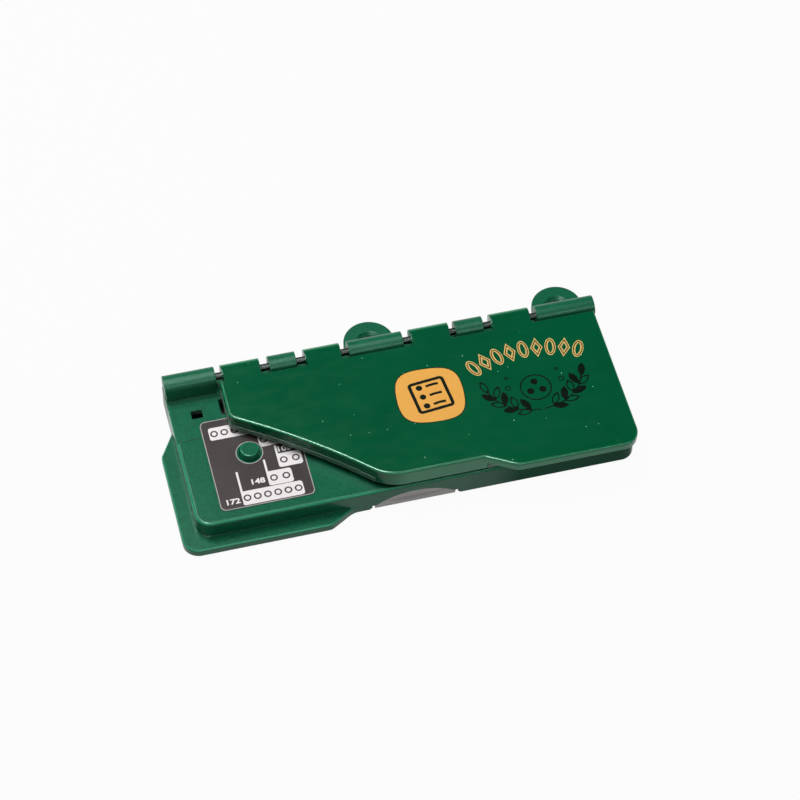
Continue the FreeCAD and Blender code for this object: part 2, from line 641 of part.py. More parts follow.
def punch_pin(x):
    pin = cyl_z(x, PIN_Y, PIN_R, PIN_TIP_Z, PIN_TOP_Z)
    # hollow-ground tip, so that the rim of the pin shears first
    grind = cyl_x(PIN_Y, PIN_TIP_Z + GRIND_DEPTH - GRIND_R, GRIND_R, x - PIN_R, x + PIN_R)
    z0 = CLIP_Z - SEAT
    z1 = CLIP_Z + CLIP_THICK + SEAT
    neck = PIN_R - GROOVE_DEPTH
    for x0, x1 in ((x - PIN_R, x - neck), (x + neck, x + PIN_R)):
        pin = pin.cut(box(x0, x1, PIN_Y - PIN_R, PIN_Y + PIN_R, z0, z1))
    return pin.cut(grind)


def pin_clip(x):
    """Forked clip that slides into the two flats of the pin and carries the return spring."""
    plate = box(x - CLIP_HALF, x + CLIP_HALF, PIN_Y - CLIP_HALF, PIN_Y + CLIP_HALF, CLIP_Z, CLIP_Z + CLIP_THICK)
    half = PIN_R - GROOVE_DEPTH + SEAT
    return plate.cut(box(x - half, x + half, PIN_Y - CLIP_HALF, PIN_Y + PIN_R + SEAT, CLIP_Z, CLIP_Z + CLIP_THICK))


def coil_spring(x, y, z0, z1, radius, turns):
    """Compression spring of square wire standing between z0 and z1, ruled from section to section."""
    half = SPRING_WIRE / 2.0
    height = z1 - z0 - SPRING_WIRE
    count = int(round(turns * SPRING_STEPS))
    sections = []
    for i in range(count + 1):
        turn = 2.0 * math.pi * i / SPRING_STEPS
        z = z0 + half + height * i / count
        corners = []
        for out, up in ((-half, -half), (half, -half), (half, half), (-half, half), (-half, -half)):
            corners.append(vec(x + (radius + out) * math.cos(turn), y + (radius + out) * math.sin(turn), z + up))
        sections.append(Part.makePolygon(corners))
    print("least gap between turns %.2f mm" % (height / turns - SPRING_WIRE))
    return Part.makeLoft(sections, True, True)


def return_spring(x):
    return coil_spring(x, PIN_Y, GUIDE_TOP_Z, CLIP_Z, SPRING_R, SPRING_TURNS)


# Side stop


def stop_button():
    """Post that stands proud of the deck as a stop for the sheet, hollow below for its spring."""
    post = cyl_z(BUTTON_X, BUTTON_Y, BUTTON_R, DECK_UNDER_Z - SEAT, BUTTON_TOP_Z)
    post = post.makeChamfer(BUTTON_EDGE, edges_at_height(post, BUTTON_TOP_Z, lambda x, y: True))
    flange = cyl_z(BUTTON_X, BUTTON_Y, BUTTON_FLANGE_R, DECK_UNDER_Z - SEAT - BUTTON_FLANGE_THICK,
                   DECK_UNDER_Z - SEAT)
    bore = cyl_z(BUTTON_X, BUTTON_Y, BUTTON_BORE_R, RETAINER_TOP_Z, BUTTON_TOP_Z - BUTTON_ROOF)
    return post.fuse(flange).cut(bore).removeSplitter()


def button_spring():
    return coil_spring(BUTTON_X, BUTTON_Y, RETAINER_TOP_Z, BUTTON_TOP_Z - BUTTON_ROOF,
                       BUTTON_SPRING_R, BUTTON_SPRING_TURNS)


def button_retainer():
    """Strip screwed under the deck, with a round pilot that centres the spring."""
    x0 = RETAINER_XS[0] - BOSS_R
    x1 = RETAINER_XS[-1] + BOSS_R
    plate = box(x0, x1, BUTTON_Y - BOSS_R, BUTTON_Y + BOSS_R, RETAINER_TOP_Z - RETAINER_THICK, RETAINER_TOP_Z)
    plate = plate.fuse(cyl_z(BUTTON_X, BUTTON_Y, PILOT_R, RETAINER_TOP_Z, RETAINER_TOP_Z + PILOT_HEIGHT))
    for x in RETAINER_XS:
        plate = plate.cut(cyl_z(x, BUTTON_Y, SCREW_R + SLIP, 0, RETAINER_TOP_Z))
    return plate.removeSplitter()


def retainer_screws():
    seat = RETAINER_TOP_Z - RETAINER_THICK
    return Part.makeCompound([
        head_down_screw(x, BUTTON_Y, seat, DECK_UNDER_Z - SCREW_TIP_GAP) for x in RETAINER_XS])


# Tray, label and pads


def chip_tray():
    """Shallow tray that closes the housing from below, with pivots at the back and a thumb tab in front."""
    x0 = WALL + TRAY_SIDE_CLEAR
    x1 = BODY_LENGTH - WALL - TRAY_SIDE_CLEAR
    y0 = -BODY_FRONT + WALL + TRAY_CLEAR
    y1 = -TRAY_AXIS_Y
    half_wall = TRAY_WALL / 2.0
    base = rounded_face([(x0, y1, TRAY_REAR_R), (x0, y0, TRAY_CORNER_R), (x1, y0, TRAY_CORNER_R), (x1, y1, TRAY_REAR_R)])
    tray = prism(base, TRAY_FLOOR_Z, TRAY_WALL_TOP).cut(
        prism(inset(base, TRAY_WALL), TRAY_FLOOR_Z + TRAY_FLOOR_THICK, TRAY_WALL_TOP))
    for x in TRAY_RIB_XS:
        tray = tray.fuse(box(x, x + TRAY_RIB_WIDTH, y0 + half_wall, y1 - half_wall, TRAY_FLOOR_Z, TRAY_RIB_TOP))
    tab = arch(TAB_CLEAR, -BODY_FRONT, -BODY_FRONT + WALL - TRAY_CLEAR)
    tab = tab.common(box(TAB_X - TAB_HALF, TAB_X + TAB_HALF, y0 - WALL, 0, 0, DECK_Z))
    tie = box(TAB_X - TAB_TIE_HALF, TAB_X + TAB_TIE_HALF, -BODY_FRONT + WALL - TRAY_CLEAR - half_wall,
              y0 + half_wall, TRAY_FLOOR_Z, TAB_TIE_TOP)
    tray = tray.fuse(tab.cut(thumb_scoop())).fuse(tie)
    for a, b in ((TRAY_PIN_REACH, x0 + half_wall), (x1 - half_wall, BODY_LENGTH - TRAY_PIN_REACH)):
        tray = tray.fuse(cyl_x(TRAY_AXIS_Y, TRAY_AXIS_Z, TRAY_PIN_R, a, b))
    return tray.removeSplitter()


def gauge_label():
    sheet = prism(rounded_face([
        (LABEL_X0, LABEL_Y1, LABEL_CORNER_R),
        (LABEL_X0, LABEL_Y0, LABEL_CORNER_R),
        (LABEL_X1, LABEL_Y0, LABEL_CORNER_R),
        (LABEL_X1, LABEL_Y1, LABEL_CORNER_R),
    ]), DECK_Z, DECK_Z + LABEL_THICK)
    return sheet.cut(cyl_z(BUTTON_X, BUTTON_Y, LABEL_HOLE_R, DECK_Z, DECK_Z + LABEL_THICK))


def foot_pads():
    return Part.makeCompound([
        box(x - PAD_HALF_X, x + PAD_HALF_X, y - PAD_HALF_Y, y + PAD_HALF_Y, -PAD_PROUD, TRAY_FLOOR_Z)
        for x, y in PAD_SPOTS])


def build():
    os.makedirs("parts", exist_ok=True)
    save(body_housing(), "body_housing")
    save(hinge_rod(), "hinge_rod")
    save(lever_cover(), "lever_cover")
    save(lever_frame(), "lever_frame")
    save(presser_bar(), "presser_bar")
    save(lever_screws(), "lever_screws")
    save(punch_frame(), "punch_frame")
    save(frame_screws(), "frame_screws")
    for number, x in enumerate(PIN_XS, 1):
        save(punch_pin(x), "punch_pin_%d" % number)
        save(pin_clip(x), "pin_clip_%d" % number)
        save(return_spring(x), "return_spring_%d" % number)
    save(stop_button(), "stop_button")
    save(button_spring(), "button_spring")
    save(button_retainer(), "button_retainer")
    save(retainer_screws(), "retainer_screws")
    save(chip_tray(), "chip_tray")
    save(gauge_label(), "gauge_label")
    save(foot_pads(), "foot_pads")


build()
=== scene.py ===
"""Looks of a mini hole punch: prints, springs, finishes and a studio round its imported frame."""

import math

import bmesh
import bpy
from mathutils import Matrix, Vector


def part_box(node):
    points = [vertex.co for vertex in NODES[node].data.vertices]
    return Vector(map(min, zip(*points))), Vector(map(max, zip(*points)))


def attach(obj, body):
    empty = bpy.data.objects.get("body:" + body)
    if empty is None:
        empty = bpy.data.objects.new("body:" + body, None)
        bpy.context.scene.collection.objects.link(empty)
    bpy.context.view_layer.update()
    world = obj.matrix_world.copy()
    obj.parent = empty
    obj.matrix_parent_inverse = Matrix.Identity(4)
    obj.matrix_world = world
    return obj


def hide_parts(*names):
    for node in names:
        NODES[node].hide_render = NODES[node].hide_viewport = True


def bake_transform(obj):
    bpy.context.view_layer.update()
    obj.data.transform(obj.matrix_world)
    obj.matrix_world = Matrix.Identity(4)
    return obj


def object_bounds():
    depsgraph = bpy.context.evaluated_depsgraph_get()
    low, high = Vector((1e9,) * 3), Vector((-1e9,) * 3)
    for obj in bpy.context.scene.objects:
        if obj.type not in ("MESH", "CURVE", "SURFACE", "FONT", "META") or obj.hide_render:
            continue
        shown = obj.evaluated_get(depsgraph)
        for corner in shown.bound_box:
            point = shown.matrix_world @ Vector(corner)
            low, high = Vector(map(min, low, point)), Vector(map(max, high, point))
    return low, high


bl_info = {
    "name": "Mini Hole Punch",
    "version": (1, 0, 0),
    "blender": (4, 5, 0),
    "location": "3D View > Sidebar > Hole Punch",
    "description": "Prints, springs, finishes and a plain studio for a mini hole punch",
    "category": "Object",
}

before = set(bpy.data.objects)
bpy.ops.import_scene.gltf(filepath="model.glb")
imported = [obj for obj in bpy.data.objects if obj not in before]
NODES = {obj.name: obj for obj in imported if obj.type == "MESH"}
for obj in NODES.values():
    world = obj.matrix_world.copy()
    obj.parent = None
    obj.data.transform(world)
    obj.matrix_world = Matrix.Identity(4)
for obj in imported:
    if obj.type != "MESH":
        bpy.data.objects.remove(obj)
CAD_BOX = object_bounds()
MM = 0.001

# The gauge label's corner ties the drawing's millimetres to the row frame: x runs along the hinge
# from the housing's left end, y from the hinge rod, and z from the housing's rim.
LABEL_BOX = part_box("gauge_label")
LABEL_LEFT, LABEL_FRONT, LABEL_BED = 10.45, -61.1, 11.4
DRAWING = LABEL_BOX[0] - Vector((LABEL_LEFT, LABEL_FRONT, LABEL_BED)) * MM
LABEL_TOP = LABEL_BOX[1].z
LABEL_WIDTH = (LABEL_BOX[1].x - LABEL_BOX[0].x) / MM
LABEL_DEPTH = (LABEL_BOX[1].y - LABEL_BOX[0].y) / MM
LID_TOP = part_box("lever_cover")[1].z
POST_X, POST_Y = 27.0, -35.9
BARREL_FRONT = DRAWING.y - 7 * MM  # the hinge's barrels lie behind this line
LIP_LEFT, LIP_FULL = DRAWING.x + 106 * MM, DRAWING.x + 130 * MM  # where the thumb lip steps out
ROUND = 0.448  # how far from a corner a Bezier handle stands, in radii, for a round corner
LAYER = 0.6  # how far a print over another one is raised, in ink heights
UP = (0, 0, 1)
MINT = (0.68, 1.0, 0.86)  # the tone of the reflections on the green mouldings
LIP_DULL, BARREL_DULL = 0.65, 0.33  # roughness under the thumb lip and on the hinge's barrels


def srgb(red, green, blue):
    """The linear colour of three screen values from 0 to 255."""
    return tuple(
        c / 12.92 if c <= 0.04045 else ((c + 0.055) / 1.055) ** 2.4
        for c in (value / 255.0 for value in (red, green, blue))
    )


def colour(label, text, default):
    """A colour property of the panel."""
    return bpy.props.FloatVectorProperty(
        name=label, description=text, subtype="COLOR", size=3, min=0.0, max=1.0, default=default
    )


def number(label, text, default, **rest):
    """A number of the panel, with its unit or its limits."""
    return bpy.props.FloatProperty(name=label, description=text, default=default, **rest)


def length(label, text, millimetres):
    """A length of the panel, given in millimetres."""
    return number(label, text, millimetres * MM, min=0.0, unit="LENGTH", precision=5)


def degrees(label, text, value):
    """An angle of the panel, given in degrees."""
    return number(label, text, math.radians(value), subtype="ANGLE")


def watts(label, text, value):
    """The power of a lamp on the panel."""
    return number(label, text, value, unit="POWER")


class PunchColours(bpy.types.PropertyGroup):
    """The colours of the mouldings, the metal and the prints."""

    housing: colour("Housing", "Matte moulding of the housing", srgb(15, 95, 66))
    lid: colour("Lid", "Glossy moulding of the lever's cover", srgb(0, 83, 51))
    inner: colour("Lever Frame", "Moulding under the lever's cover", srgb(12, 78, 50))
    tray: colour("Chip Tray", "Moulding of the tray and its thumb tab", srgb(198, 193, 192))
    label: colour("Gauge Label", "Ground of the gauge label", srgb(60, 53, 53))
    white: colour("White Print", "Tags, lines and numbers of the gauge", srgb(236, 230, 231))
    rim: colour("Label Rim", "Thin cut edge round the gauge label", srgb(178, 176, 172))
    badge: colour("Badge", "Round patch printed on the lid", srgb(232, 170, 78))
    gold: colour("Gold Print", "Outlined marks in the arch", srgb(222, 186, 112))
    brown: colour("Brown Line", "Fine line inside the gold marks", srgb(70, 50, 20))
    ink: colour("Dark Print", "Leaves and sheet drawn on the lid", srgb(8, 22, 14))


class PunchPrints(bpy.types.PropertyGroup):
    """The sizes of the prints."""

    film: length("Ink Height", "How far a print stands on its surface", 0.03)
    numeral_height: length("Number Height", "Height of the gauge's numbers", 2.6)
    numeral_width: length("Number Width", "Width of a three-figure number", 5.4)
    line: length("Gauge Line", "Width of a gauge line", 0.85)
    rim: length("Label Rim", "Width of the light rim round the label", 0.32)
    badge_width: length("Badge Width", "Width of the patch on the lid", 26.8)
    badge_height: length("Badge Height", "Height of the patch on the lid", 26.2)
    arch_radius: length("Arch Radius", "Radius of the arch of gold marks", 52.2)
    arch_mark: length("Gold Mark", "Height of one gold mark", 9.4)
    arch_count: bpy.props.IntProperty(
        name="Gold Marks", description="How many gold marks stand in the arch", default=9, min=3
    )
    leaf: length("Leaf", "Length of a leaf of the two sprays", 6.6)
    drawn: length("Drawn Line", "Width of the sprays' lines", 0.42)


class PunchHardware(bpy.types.PropertyGroup):
    """The sizes of the springs and the side stop."""

    pin_wire: length("Pin Spring Wire", "Wire of the three return springs", 0.42)
    pin_turns: number("Pin Spring Turns", "Open turns of a return spring", 2.5, min=1.0)
    stop_wire: length("Stop Spring Wire", "Wire of the side stop's spring", 0.4)
    stop_turns: number("Stop Spring Turns", "Open turns of the stop's spring", 3.0, min=1.0)
    stop_edge: length("Stop Edge", "Radius round the side stop's top", 0.6)


class PunchStage(bpy.types.PropertyGroup):
    """The camera, the lamps and the floor."""

    lens: number("Lens", "Focal length of the camera", 129.12, unit="CAMERA")
    azimuth: degrees("Azimuth", "Turn of the camera round the punch", -15.326)
    elevation: degrees("Elevation", "Height of the camera over the floor", 53.272)
    roll: degrees("Roll", "Tilt of the picture", 1.467)
    distance: number("Distance", "From the camera to its target", 1.160755, unit="LENGTH")
    target: bpy.props.FloatVectorProperty(
        name="Target",
        description="The point that the camera looks at",
        subtype="TRANSLATION",
        default=(0.007415, 0.008097, 0.0004),
    )
    key_power: watts("Key Lamp", "Lamp behind on the left", 4.5)
    top_power: watts("Top Lamp", "Wide lamp overhead", 4.0)
    strip_power: watts("Strip Lamp", "Lamp high on the left, seen only in reflections", 14.0)
    front_power: watts("Front Lamp", "Long lamp in front, seen only in reflections", 4.0)
    sky: number("Sky", "Strength of the light from round the horizon", 0.5, min=0.0)
    shadow: number("Shadow", "Share of the floor that takes the shadow", 0.045)


class PunchSettings(bpy.types.PropertyGroup):
    """All settings of the mini hole punch."""

    colours: bpy.props.PointerProperty(type=PunchColours)
    prints: bpy.props.PointerProperty(type=PunchPrints)
    hardware: bpy.props.PointerProperty(type=PunchHardware)
    stage: bpy.props.PointerProperty(type=PunchStage)


# ---- helpers for meshes ------------------------------------------------------------------------


def add_piece(name, bm, material, body=None):
    """A finished piece from a bmesh that is already in place, in metres."""
    mesh = bpy.data.meshes.new(name)
    bm.to_mesh(mesh)
    bm.free()
    mesh.materials.append(material)
    piece = bpy.data.objects.new(name, mesh)
    bpy.context.scene.collection.objects.link(piece)
    if body:
        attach(piece, body)
    return piece


def curve_mesh(data, matrix):
    """The mesh of a curve or text, moved by a matrix. The object that held it is removed."""
    holder = bpy.data.objects.new("drawn", data)
    bpy.context.scene.collection.objects.link(holder)
    bpy.context.view_layer.update()
    graph = bpy.context.evaluated_depsgraph_get()
    mesh = bpy.data.meshes.new_from_object(holder.evaluated_get(graph))
    bpy.data.objects.remove(holder)
    mesh.transform(matrix)
    return mesh


def bevel(bm, geom, radius, segments, affect):
    """Rounds corners or edges."""
    bmesh.ops.bevel(
        bm, geom=geom, offset=radius, segments=segments, profile=0.5, affect=affect, material=-1
    )


class Ink:
    """Flat marks of one colour, drawn in millimetres on one height, that become one thin piece."""

    def __init__(self, film):
        self.bm = bmesh.new()
        self.film = film / MM

    def take(self, mesh):
        """Adds a mesh to the marks."""
        self.bm.from_mesh(mesh)
        bpy.data.meshes.remove(mesh)

    def thicken(self, bm, turn, place):
        """Gives flat faces the ink's height, sets them in place and adds them."""
        bmesh.ops.solidify(bm, geom=bm.faces[:], thickness=2 * self.film)
        middle = sum(v.co.z for v in bm.verts) / len(bm.verts)
        bmesh.ops.translate(bm, verts=bm.verts[:], vec=(0, 0, -middle))
        bmesh.ops.recalc_face_normals(bm, faces=bm.faces[:])
        matrix = Matrix.Translation((*place, 0)) @ Matrix.Rotation(turn, 4, "Z")
        bmesh.ops.transform(bm, matrix=matrix, verts=bm.verts[:])
        mesh = bpy.data.meshes.new("mark")
        bm.to_mesh(mesh)
        bm.free()
        self.take(mesh)

    @staticmethod
    def hollow(bm, width):
        """Leaves an even band along the border of flat faces."""
        middle = bm.faces[:]
        bmesh.ops.inset_individual(bm, faces=middle, thickness=width, use_even_offset=True)
        bmesh.ops.delete(bm, geom=middle, context="FACES")

    def frame(self, left, front, right, rear, corner, width, turn=0.0):
        """An even band along a rectangle with round corners."""
        bm = bmesh.new()
        bmesh.ops.create_grid(bm, x_segments=1, y_segments=1, size=0.5)
        bmesh.ops.scale(bm, vec=(right - left, rear - front, 1), verts=bm.verts[:])
        bevel(bm, bm.verts[:], corner, 6, "VERTICES")
        self.hollow(bm, width)
        self.thicken(bm, turn, ((left + right) / 2, (front + rear) / 2))

    def disc(self, x, y, radius, segments):
        """A filled circle."""
        bm = bmesh.new()
        bmesh.ops.create_circle(bm, cap_ends=True, segments=segments, radius=radius)
        self.thicken(bm, 0.0, (x, y))

    def ring(self, x, y, radius, width, segments, squeeze=1.0, turn=0.0):
        """A band of even width inside a circle, an ellipse or, with four sides, a lozenge."""
        bm = bmesh.new()
        bmesh.ops.create_circle(bm, cap_ends=True, segments=segments, radius=radius)
        bmesh.ops.scale(bm, vec=(squeeze, 1, 1), verts=bm.verts[:])
        self.hollow(bm, width)
        self.thicken(bm, turn, (x, y))

    def panel(self, corners):
        """A filled outline of straight runs. A corner is x, y and its radius."""
        loop = []
        for index, (x, y, radius) in enumerate(corners):
            here = Vector((x, y))
            if not radius:
                loop.append((here, here, here))
                continue
            before = (Vector(corners[index - 1][:2]) - here).normalized() * radius
            after = (Vector(corners[(index + 1) % len(corners)][:2]) - here).normalized() * radius
            loop.append((here + before, here + before, here + before * ROUND))
            loop.append((here + after, here + after * ROUND, here + after))
        self.shape([loop])

    def stroke(self, points, width):
        """A drawn line through points: a smooth tube, flattened to the ink's height."""
        data = bpy.data.curves.new("stroke", "CURVE")
        data.dimensions = "3D"
        data.resolution_u = 8
        data.bevel_depth = width / 2
        data.bevel_resolution = 1
        data.use_fill_caps = True
        spline = data.splines.new("BEZIER")
        spline.bezier_points.add(len(points) - 1)
        for knot, (x, y) in zip(spline.bezier_points, points):
            knot.co = (x, y, 0)
            knot.handle_left_type = knot.handle_right_type = "AUTO"
        flat = Matrix.Diagonal((1, 1, 2 * self.film / width, 1))
        self.take(curve_mesh(data, flat))

    def shape(self, loops, matrix=None):
        """Closed Bezier outlines, filled in turn. A knot is a point and its two handles."""
        data = bpy.data.curves.new("shape", "CURVE")
        data.dimensions = "2D"
        data.fill_mode = "BOTH"
        data.resolution_u = 12
        data.extrude = self.film
        for loop in loops:
            spline = data.splines.new("BEZIER")
            spline.bezier_points.add(len(loop) - 1)
            spline.use_cyclic_u = True
            for knot, (point, before, after) in zip(spline.bezier_points, loop):
                knot.handle_left_type = knot.handle_right_type = "FREE"
                knot.co = (*point, 0)
                knot.handle_left = (*before, 0)
                knot.handle_right = (*after, 0)
        self.take(curve_mesh(data, matrix or Matrix.Identity(4)))

    def numeral(self, words, x, y, width, height):
        """A bold number whose middle is at x, y."""
        data = bpy.data.curves.new("numeral", "FONT")
        data.body = words
        data.offset = 0.03
        data.extrude = self.film
        data.resolution_u = 3
        mesh = curve_mesh(data, Matrix.Identity(4))
        xs = [v.co.x for v in mesh.vertices]
        ys = [v.co.y for v in mesh.vertices]
        middle = Vector(((min(xs) + max(xs)) / 2, (min(ys) + max(ys)) / 2, 0))
        size = (width / (max(xs) - min(xs)), height / (max(ys) - min(ys)), 1, 1)
        mesh.transform(
            Matrix.Translation((x, y, 0)) @ Matrix.Diagonal(size) @ Matrix.Translation(-middle)
        )
        self.take(mesh)

    def piece(self, name, height, material, body, slot):
        """The marks as one piece whose middle plane lies on the surface at that height."""
        bmesh.ops.remove_doubles(self.bm, verts=self.bm.verts[:], dist=1e-5)
        matrix = Matrix.Translation((DRAWING.x, DRAWING.y, height)) @ Matrix.Scale(MM, 4)
        bmesh.ops.transform(self.bm, matrix=matrix, verts=self.bm.verts[:])
        return add_piece(name, self.bm, material, body)


# ---- helpers for materials ---------------------------------------------------------------------


class Wiring:
    """Shader nodes of one tree, wired up from left to right."""

    def __init__(self, tree):
        self.tree = tree

    def add(self, kind, sockets=None, **settings):
        """A new node with its settings and what goes into its sockets."""
        node = self.tree.nodes.new(kind)
        for name, value in settings.items():
            setattr(node, name, value)
        for name, source in (sockets or {}).items():
            self.join(source, node.inputs[name])
        return node

    def join(self, source, socket):
        """Links an output, or sets a plain value."""
        if isinstance(source, bpy.types.NodeSocket):
            self.tree.links.new(source, socket)
        elif socket.type == "RGBA" and len(source) == 3:
            socket.default_value = (*source, 1)
        else:
            socket.default_value = source

    def axis(self, vector, name):
        """One of the three numbers of a vector."""
        return self.add("ShaderNodeSeparateXYZ", {0: vector}).outputs[name]

    def show(self, output, share, first, second):
        """Puts out one shader, and another one for a share of the rays."""
        both = self.add("ShaderNodeMixShader", {0: share, 1: first, 2: second})
        self.join(both.outputs[0], self.tree.nodes[output].inputs["Surface"])


class Finish(Wiring):
    """A material on Object coordinates."""

    def __init__(self, name, base, roughness, metallic=0.0, specular=0.5):
        self.material = bpy.data.materials.new(name)
        self.material.use_nodes = True
        super().__init__(self.material.node_tree)
        self.shader = self.tree.nodes["Principled BSDF"]
        self.set("Base Color", base)
        self.set("Roughness", roughness)
        self.set("Metallic", metallic)
        self.set("Specular IOR Level", specular)
        source = self.add("ShaderNodeTexCoord")
        self.place, self.facing = source.outputs["Object"], source.outputs["Normal"]

    def set(self, name, source):
        """Joins a source to one of the shader's sockets."""
        self.join(source, self.shader.inputs[name])

    def stretched(self, scale):
        """Object coordinates with a scale of their own on each axis."""
        node = self.add("ShaderNodeMapping", {"Vector": self.place, "Scale": scale})
        return node.outputs["Vector"]

    def noise(self, grain, detail=2.0, roughness=0.5, place=None):
        """A noise whose features are about so many millimetres across."""
        sockets = {"Vector": place or self.place, "Scale": 1 / (grain * MM)}
        sockets.update({"Detail": detail, "Roughness": roughness})
        return self.add("ShaderNodeTexNoise", sockets).outputs["Fac"]

    def cells(self, size, output="Distance", flat=False):
        """Scattered cells so many millimetres across, or columns of them that stand on X and Y."""
        sockets = {"Vector": self.place, "Scale": 1 / (size * MM)}
        dimensions = "2D" if flat else "3D"
        node = self.add("ShaderNodeTexVoronoi", sockets, voronoi_dimensions=dimensions)
        return node.outputs[output]

    def spread(self, value, low, high, to_low=0.0, to_high=1.0):
        """A value moved from one range into another and kept there."""
        sockets = {"Value": value, "From Min": low, "From Max": high}
        sockets.update({"To Min": to_low, "To Max": to_high})
        return self.add("ShaderNodeMapRange", sockets, clamp=True).outputs["Result"]

    def sums(self, operation, first, second):
        """One step of arithmetic."""
        return self.add("ShaderNodeMath", {0: first, 1: second}, operation=operation).outputs[0]

    def times(self, first, second):
        """The product of two values."""
        return self.sums("MULTIPLY", first, second)

    def mix(self, share, first, second, blend="MIX"):
        """Two colours mixed, in the node's sockets for colours."""
        sockets = {0: share, 6: first, 7: second}
        node = self.add("ShaderNodeMix", sockets, data_type="RGBA", blend_type=blend)
        return node.outputs[2]

    def clouded(self, base, size, detail, low=0.94, high=1.06):
        """A colour in soft clouds, a little darker and a little lighter."""
        share = self.spread(self.noise(size, detail), 0.35, 0.65)
        return self.mix(share, shade(base, low), shade(base, high))

    def grey(self, value):
        """A value as a colour."""
        return self.add("ShaderNodeCombineColor", {0: value, 1: value, 2: value}).outputs[0]

    def bump(self, height, distance, strength, under=None):
        """A bump of so many millimetres, laid on another one."""
        sockets = {"Height": height, "Distance": distance * MM, "Strength": strength}
        if under:
            sockets["Normal"] = under
        return self.add("ShaderNodeBump", sockets).outputs["Normal"]

    def soft_edges(self, radius):
        """A normal that rounds the moulded edges by a radius in millimetres."""
        return self.add("ShaderNodeBevel", {"Radius": radius * MM}, samples=6).outputs["Normal"]

    def edge_highlight_mask(self):
        """One on the rounded edges where a pale highlight is painted, and nothing on flats, walls
        and corners.
        """
        rise = self.axis(self.facing, "Z")
        above = self.spread(rise, 0.12, 0.40)
        round_off = self.times(above, self.spread(rise, 0.98, 0.88))
        open_air = self.add("ShaderNodeAmbientOcclusion", {"Distance": 2 * MM}, samples=6)
        free = self.spread(open_air.outputs["AO"], 0.75, 0.92)
        return self.times(round_off, free)


def shade(base, factor):
    """A colour made lighter or darker."""
    return tuple(min(1.0, c * factor) for c in base)


def matte_plastic(name, base):
    """Spark-eroded moulding: grain, clouds, a painted highlight on its rounded edges, and painted
    shade, dull and darker, on the wall under the thumb lip.
    """
    roughness = 0.22
    make = Finish(name, base, roughness, specular=0.28)
    grain = make.noise(0.42, 2.0, 0.6)
    mottle = make.noise(1.1, 3.0, 0.7)
    patch = make.spread(mottle, 0.34, 0.66, 0.82, 1.18)
    tint = make.mix(1.0, make.clouded(base, 22.0, 3.0), make.grey(patch), "MULTIPLY")
    speck = make.spread(grain, 0.60, 0.74, 0.0, 0.40)
    tint = make.mix(speck, tint, shade(base, 1.6))
    front = make.spread(make.axis(make.place, "Y"), BARREL_FRONT, BARREL_FRONT - MM)
    wall = make.spread(make.axis(make.facing, "Y"), -0.5, -0.85)
    lip = make.spread(make.axis(make.place, "X"), LIP_LEFT, LIP_FULL)
    # Painted shade: the front wall under the thumb lip gets a darker colour and a darker reflection
    # tint.
    painted_lip_shade = make.times(make.times(wall, lip), front)
    tint = make.mix(painted_lip_shade, tint, shade(base, 0.60))
    make.set("Specular Tint", make.mix(painted_lip_shade, MINT, shade(MINT, 0.20)))
    # Painted highlight: the rounded edges in front of the barrels are painted much lighter.
    painted_edge_light = make.times(make.edge_highlight_mask(), front)
    make.set("Base Color", make.mix(painted_edge_light, tint, shade(base, 2.4)))
    rough = make.spread(grain, 0.3, 0.7, roughness - 0.04, roughness + 0.06)
    barrels = make.spread(front, 0.0, 1.0, BARREL_DULL, 0.0)
    dull = make.sums("MAXIMUM", make.times(painted_lip_shade, LIP_DULL), barrels)
    make.set("Roughness", make.sums("MAXIMUM", rough, dull))
    coarse = make.bump(make.noise(1.6, 2.0), 0.02, 0.25, make.soft_edges(0.35))
    make.set("Normal", make.bump(grain, 0.02, 0.40, coarse))
    return make.material


def gloss_plastic(name, base, top, dull_end):
    """Polished moulding with waves, hairlines and dust, a painted highlight on its rounded edges,
    and walls that are dull left and painted lighter right.
    """
    make = Finish(name, base, 0.13)
    make.set("Specular Tint", MINT)
    across, height = make.axis(make.place, "X"), make.axis(make.place, "Z")
    walls = make.spread(height, top - 1.3 * MM, top - 0.8 * MM, 1.0, 0.0)
    left = make.spread(across, dull_end - 6 * MM, dull_end + 6 * MM, 1.0, 0.0)
    dull = make.times(walls, left)
    make.set("Specular IOR Level", make.spread(dull, 0.0, 1.0, 0.5, 0.12))
    near = make.spread(make.cells(9.0, flat=True), 0.012, 0.026, 1.0, 0.0)
    rare = make.spread(make.cells(9.0, "Color", flat=True), 0.60, 0.85)
    dust = make.times(near, rare)
    # Painted highlight: the lid's rounded edges are painted lighter.
    painted_edge_light = make.times(make.edge_highlight_mask(), 0.8)
    tint = make.mix(painted_edge_light, make.clouded(base, 34.0, 2.0), shade(base, 2.6))
    # Painted light: the walls on the right are painted lighter than the lid's colour.
    painted_light_walls = make.times(walls, make.sums("SUBTRACT", 1.0, left))
    tint = make.mix(painted_light_walls, tint, shade(base, 2.4))
    make.set("Base Color", make.mix(dust, tint, srgb(165, 240, 205)))
    smear = make.noise(9.0, 4.0, 0.6, make.stretched((1.0, 2.2, 1.0)))
    rough = make.spread(smear, 0.35, 0.75, 0.15, 0.22)
    make.set("Roughness", make.sums("ADD", rough, make.times(dust, 0.4)))
    wave = make.bump(make.noise(26.0, 1.0), 0.25, 0.10, make.soft_edges(0.35))
    hair = make.noise(0.5, 1.0, 0.5, make.stretched((0.04, 1.0, 1.0)))
    make.set("Normal", make.bump(make.spread(hair, 0.72, 0.80), 0.004, 0.25, wave))
    return make.material


def satin_plastic(name, base, roughness=0.34):
    """Plain satin moulding with drawn flow marks."""
    make = Finish(name, base, roughness)
    flow = make.noise(7.0, 4.0, 0.55, make.stretched((0.35, 1.0, 1.0)))
    make.set("Base Color", make.mix(flow, shade(base, 0.93), shade(base, 1.08)))
    make.set("Roughness", make.spread(flow, 0.3, 0.7, roughness - 0.05, roughness + 0.07))
    grain = make.noise(0.7, 3.0, 0.6)
    make.set("Normal", make.bump(grain, 0.02, 0.35, make.soft_edges(0.25)))
    return make.material


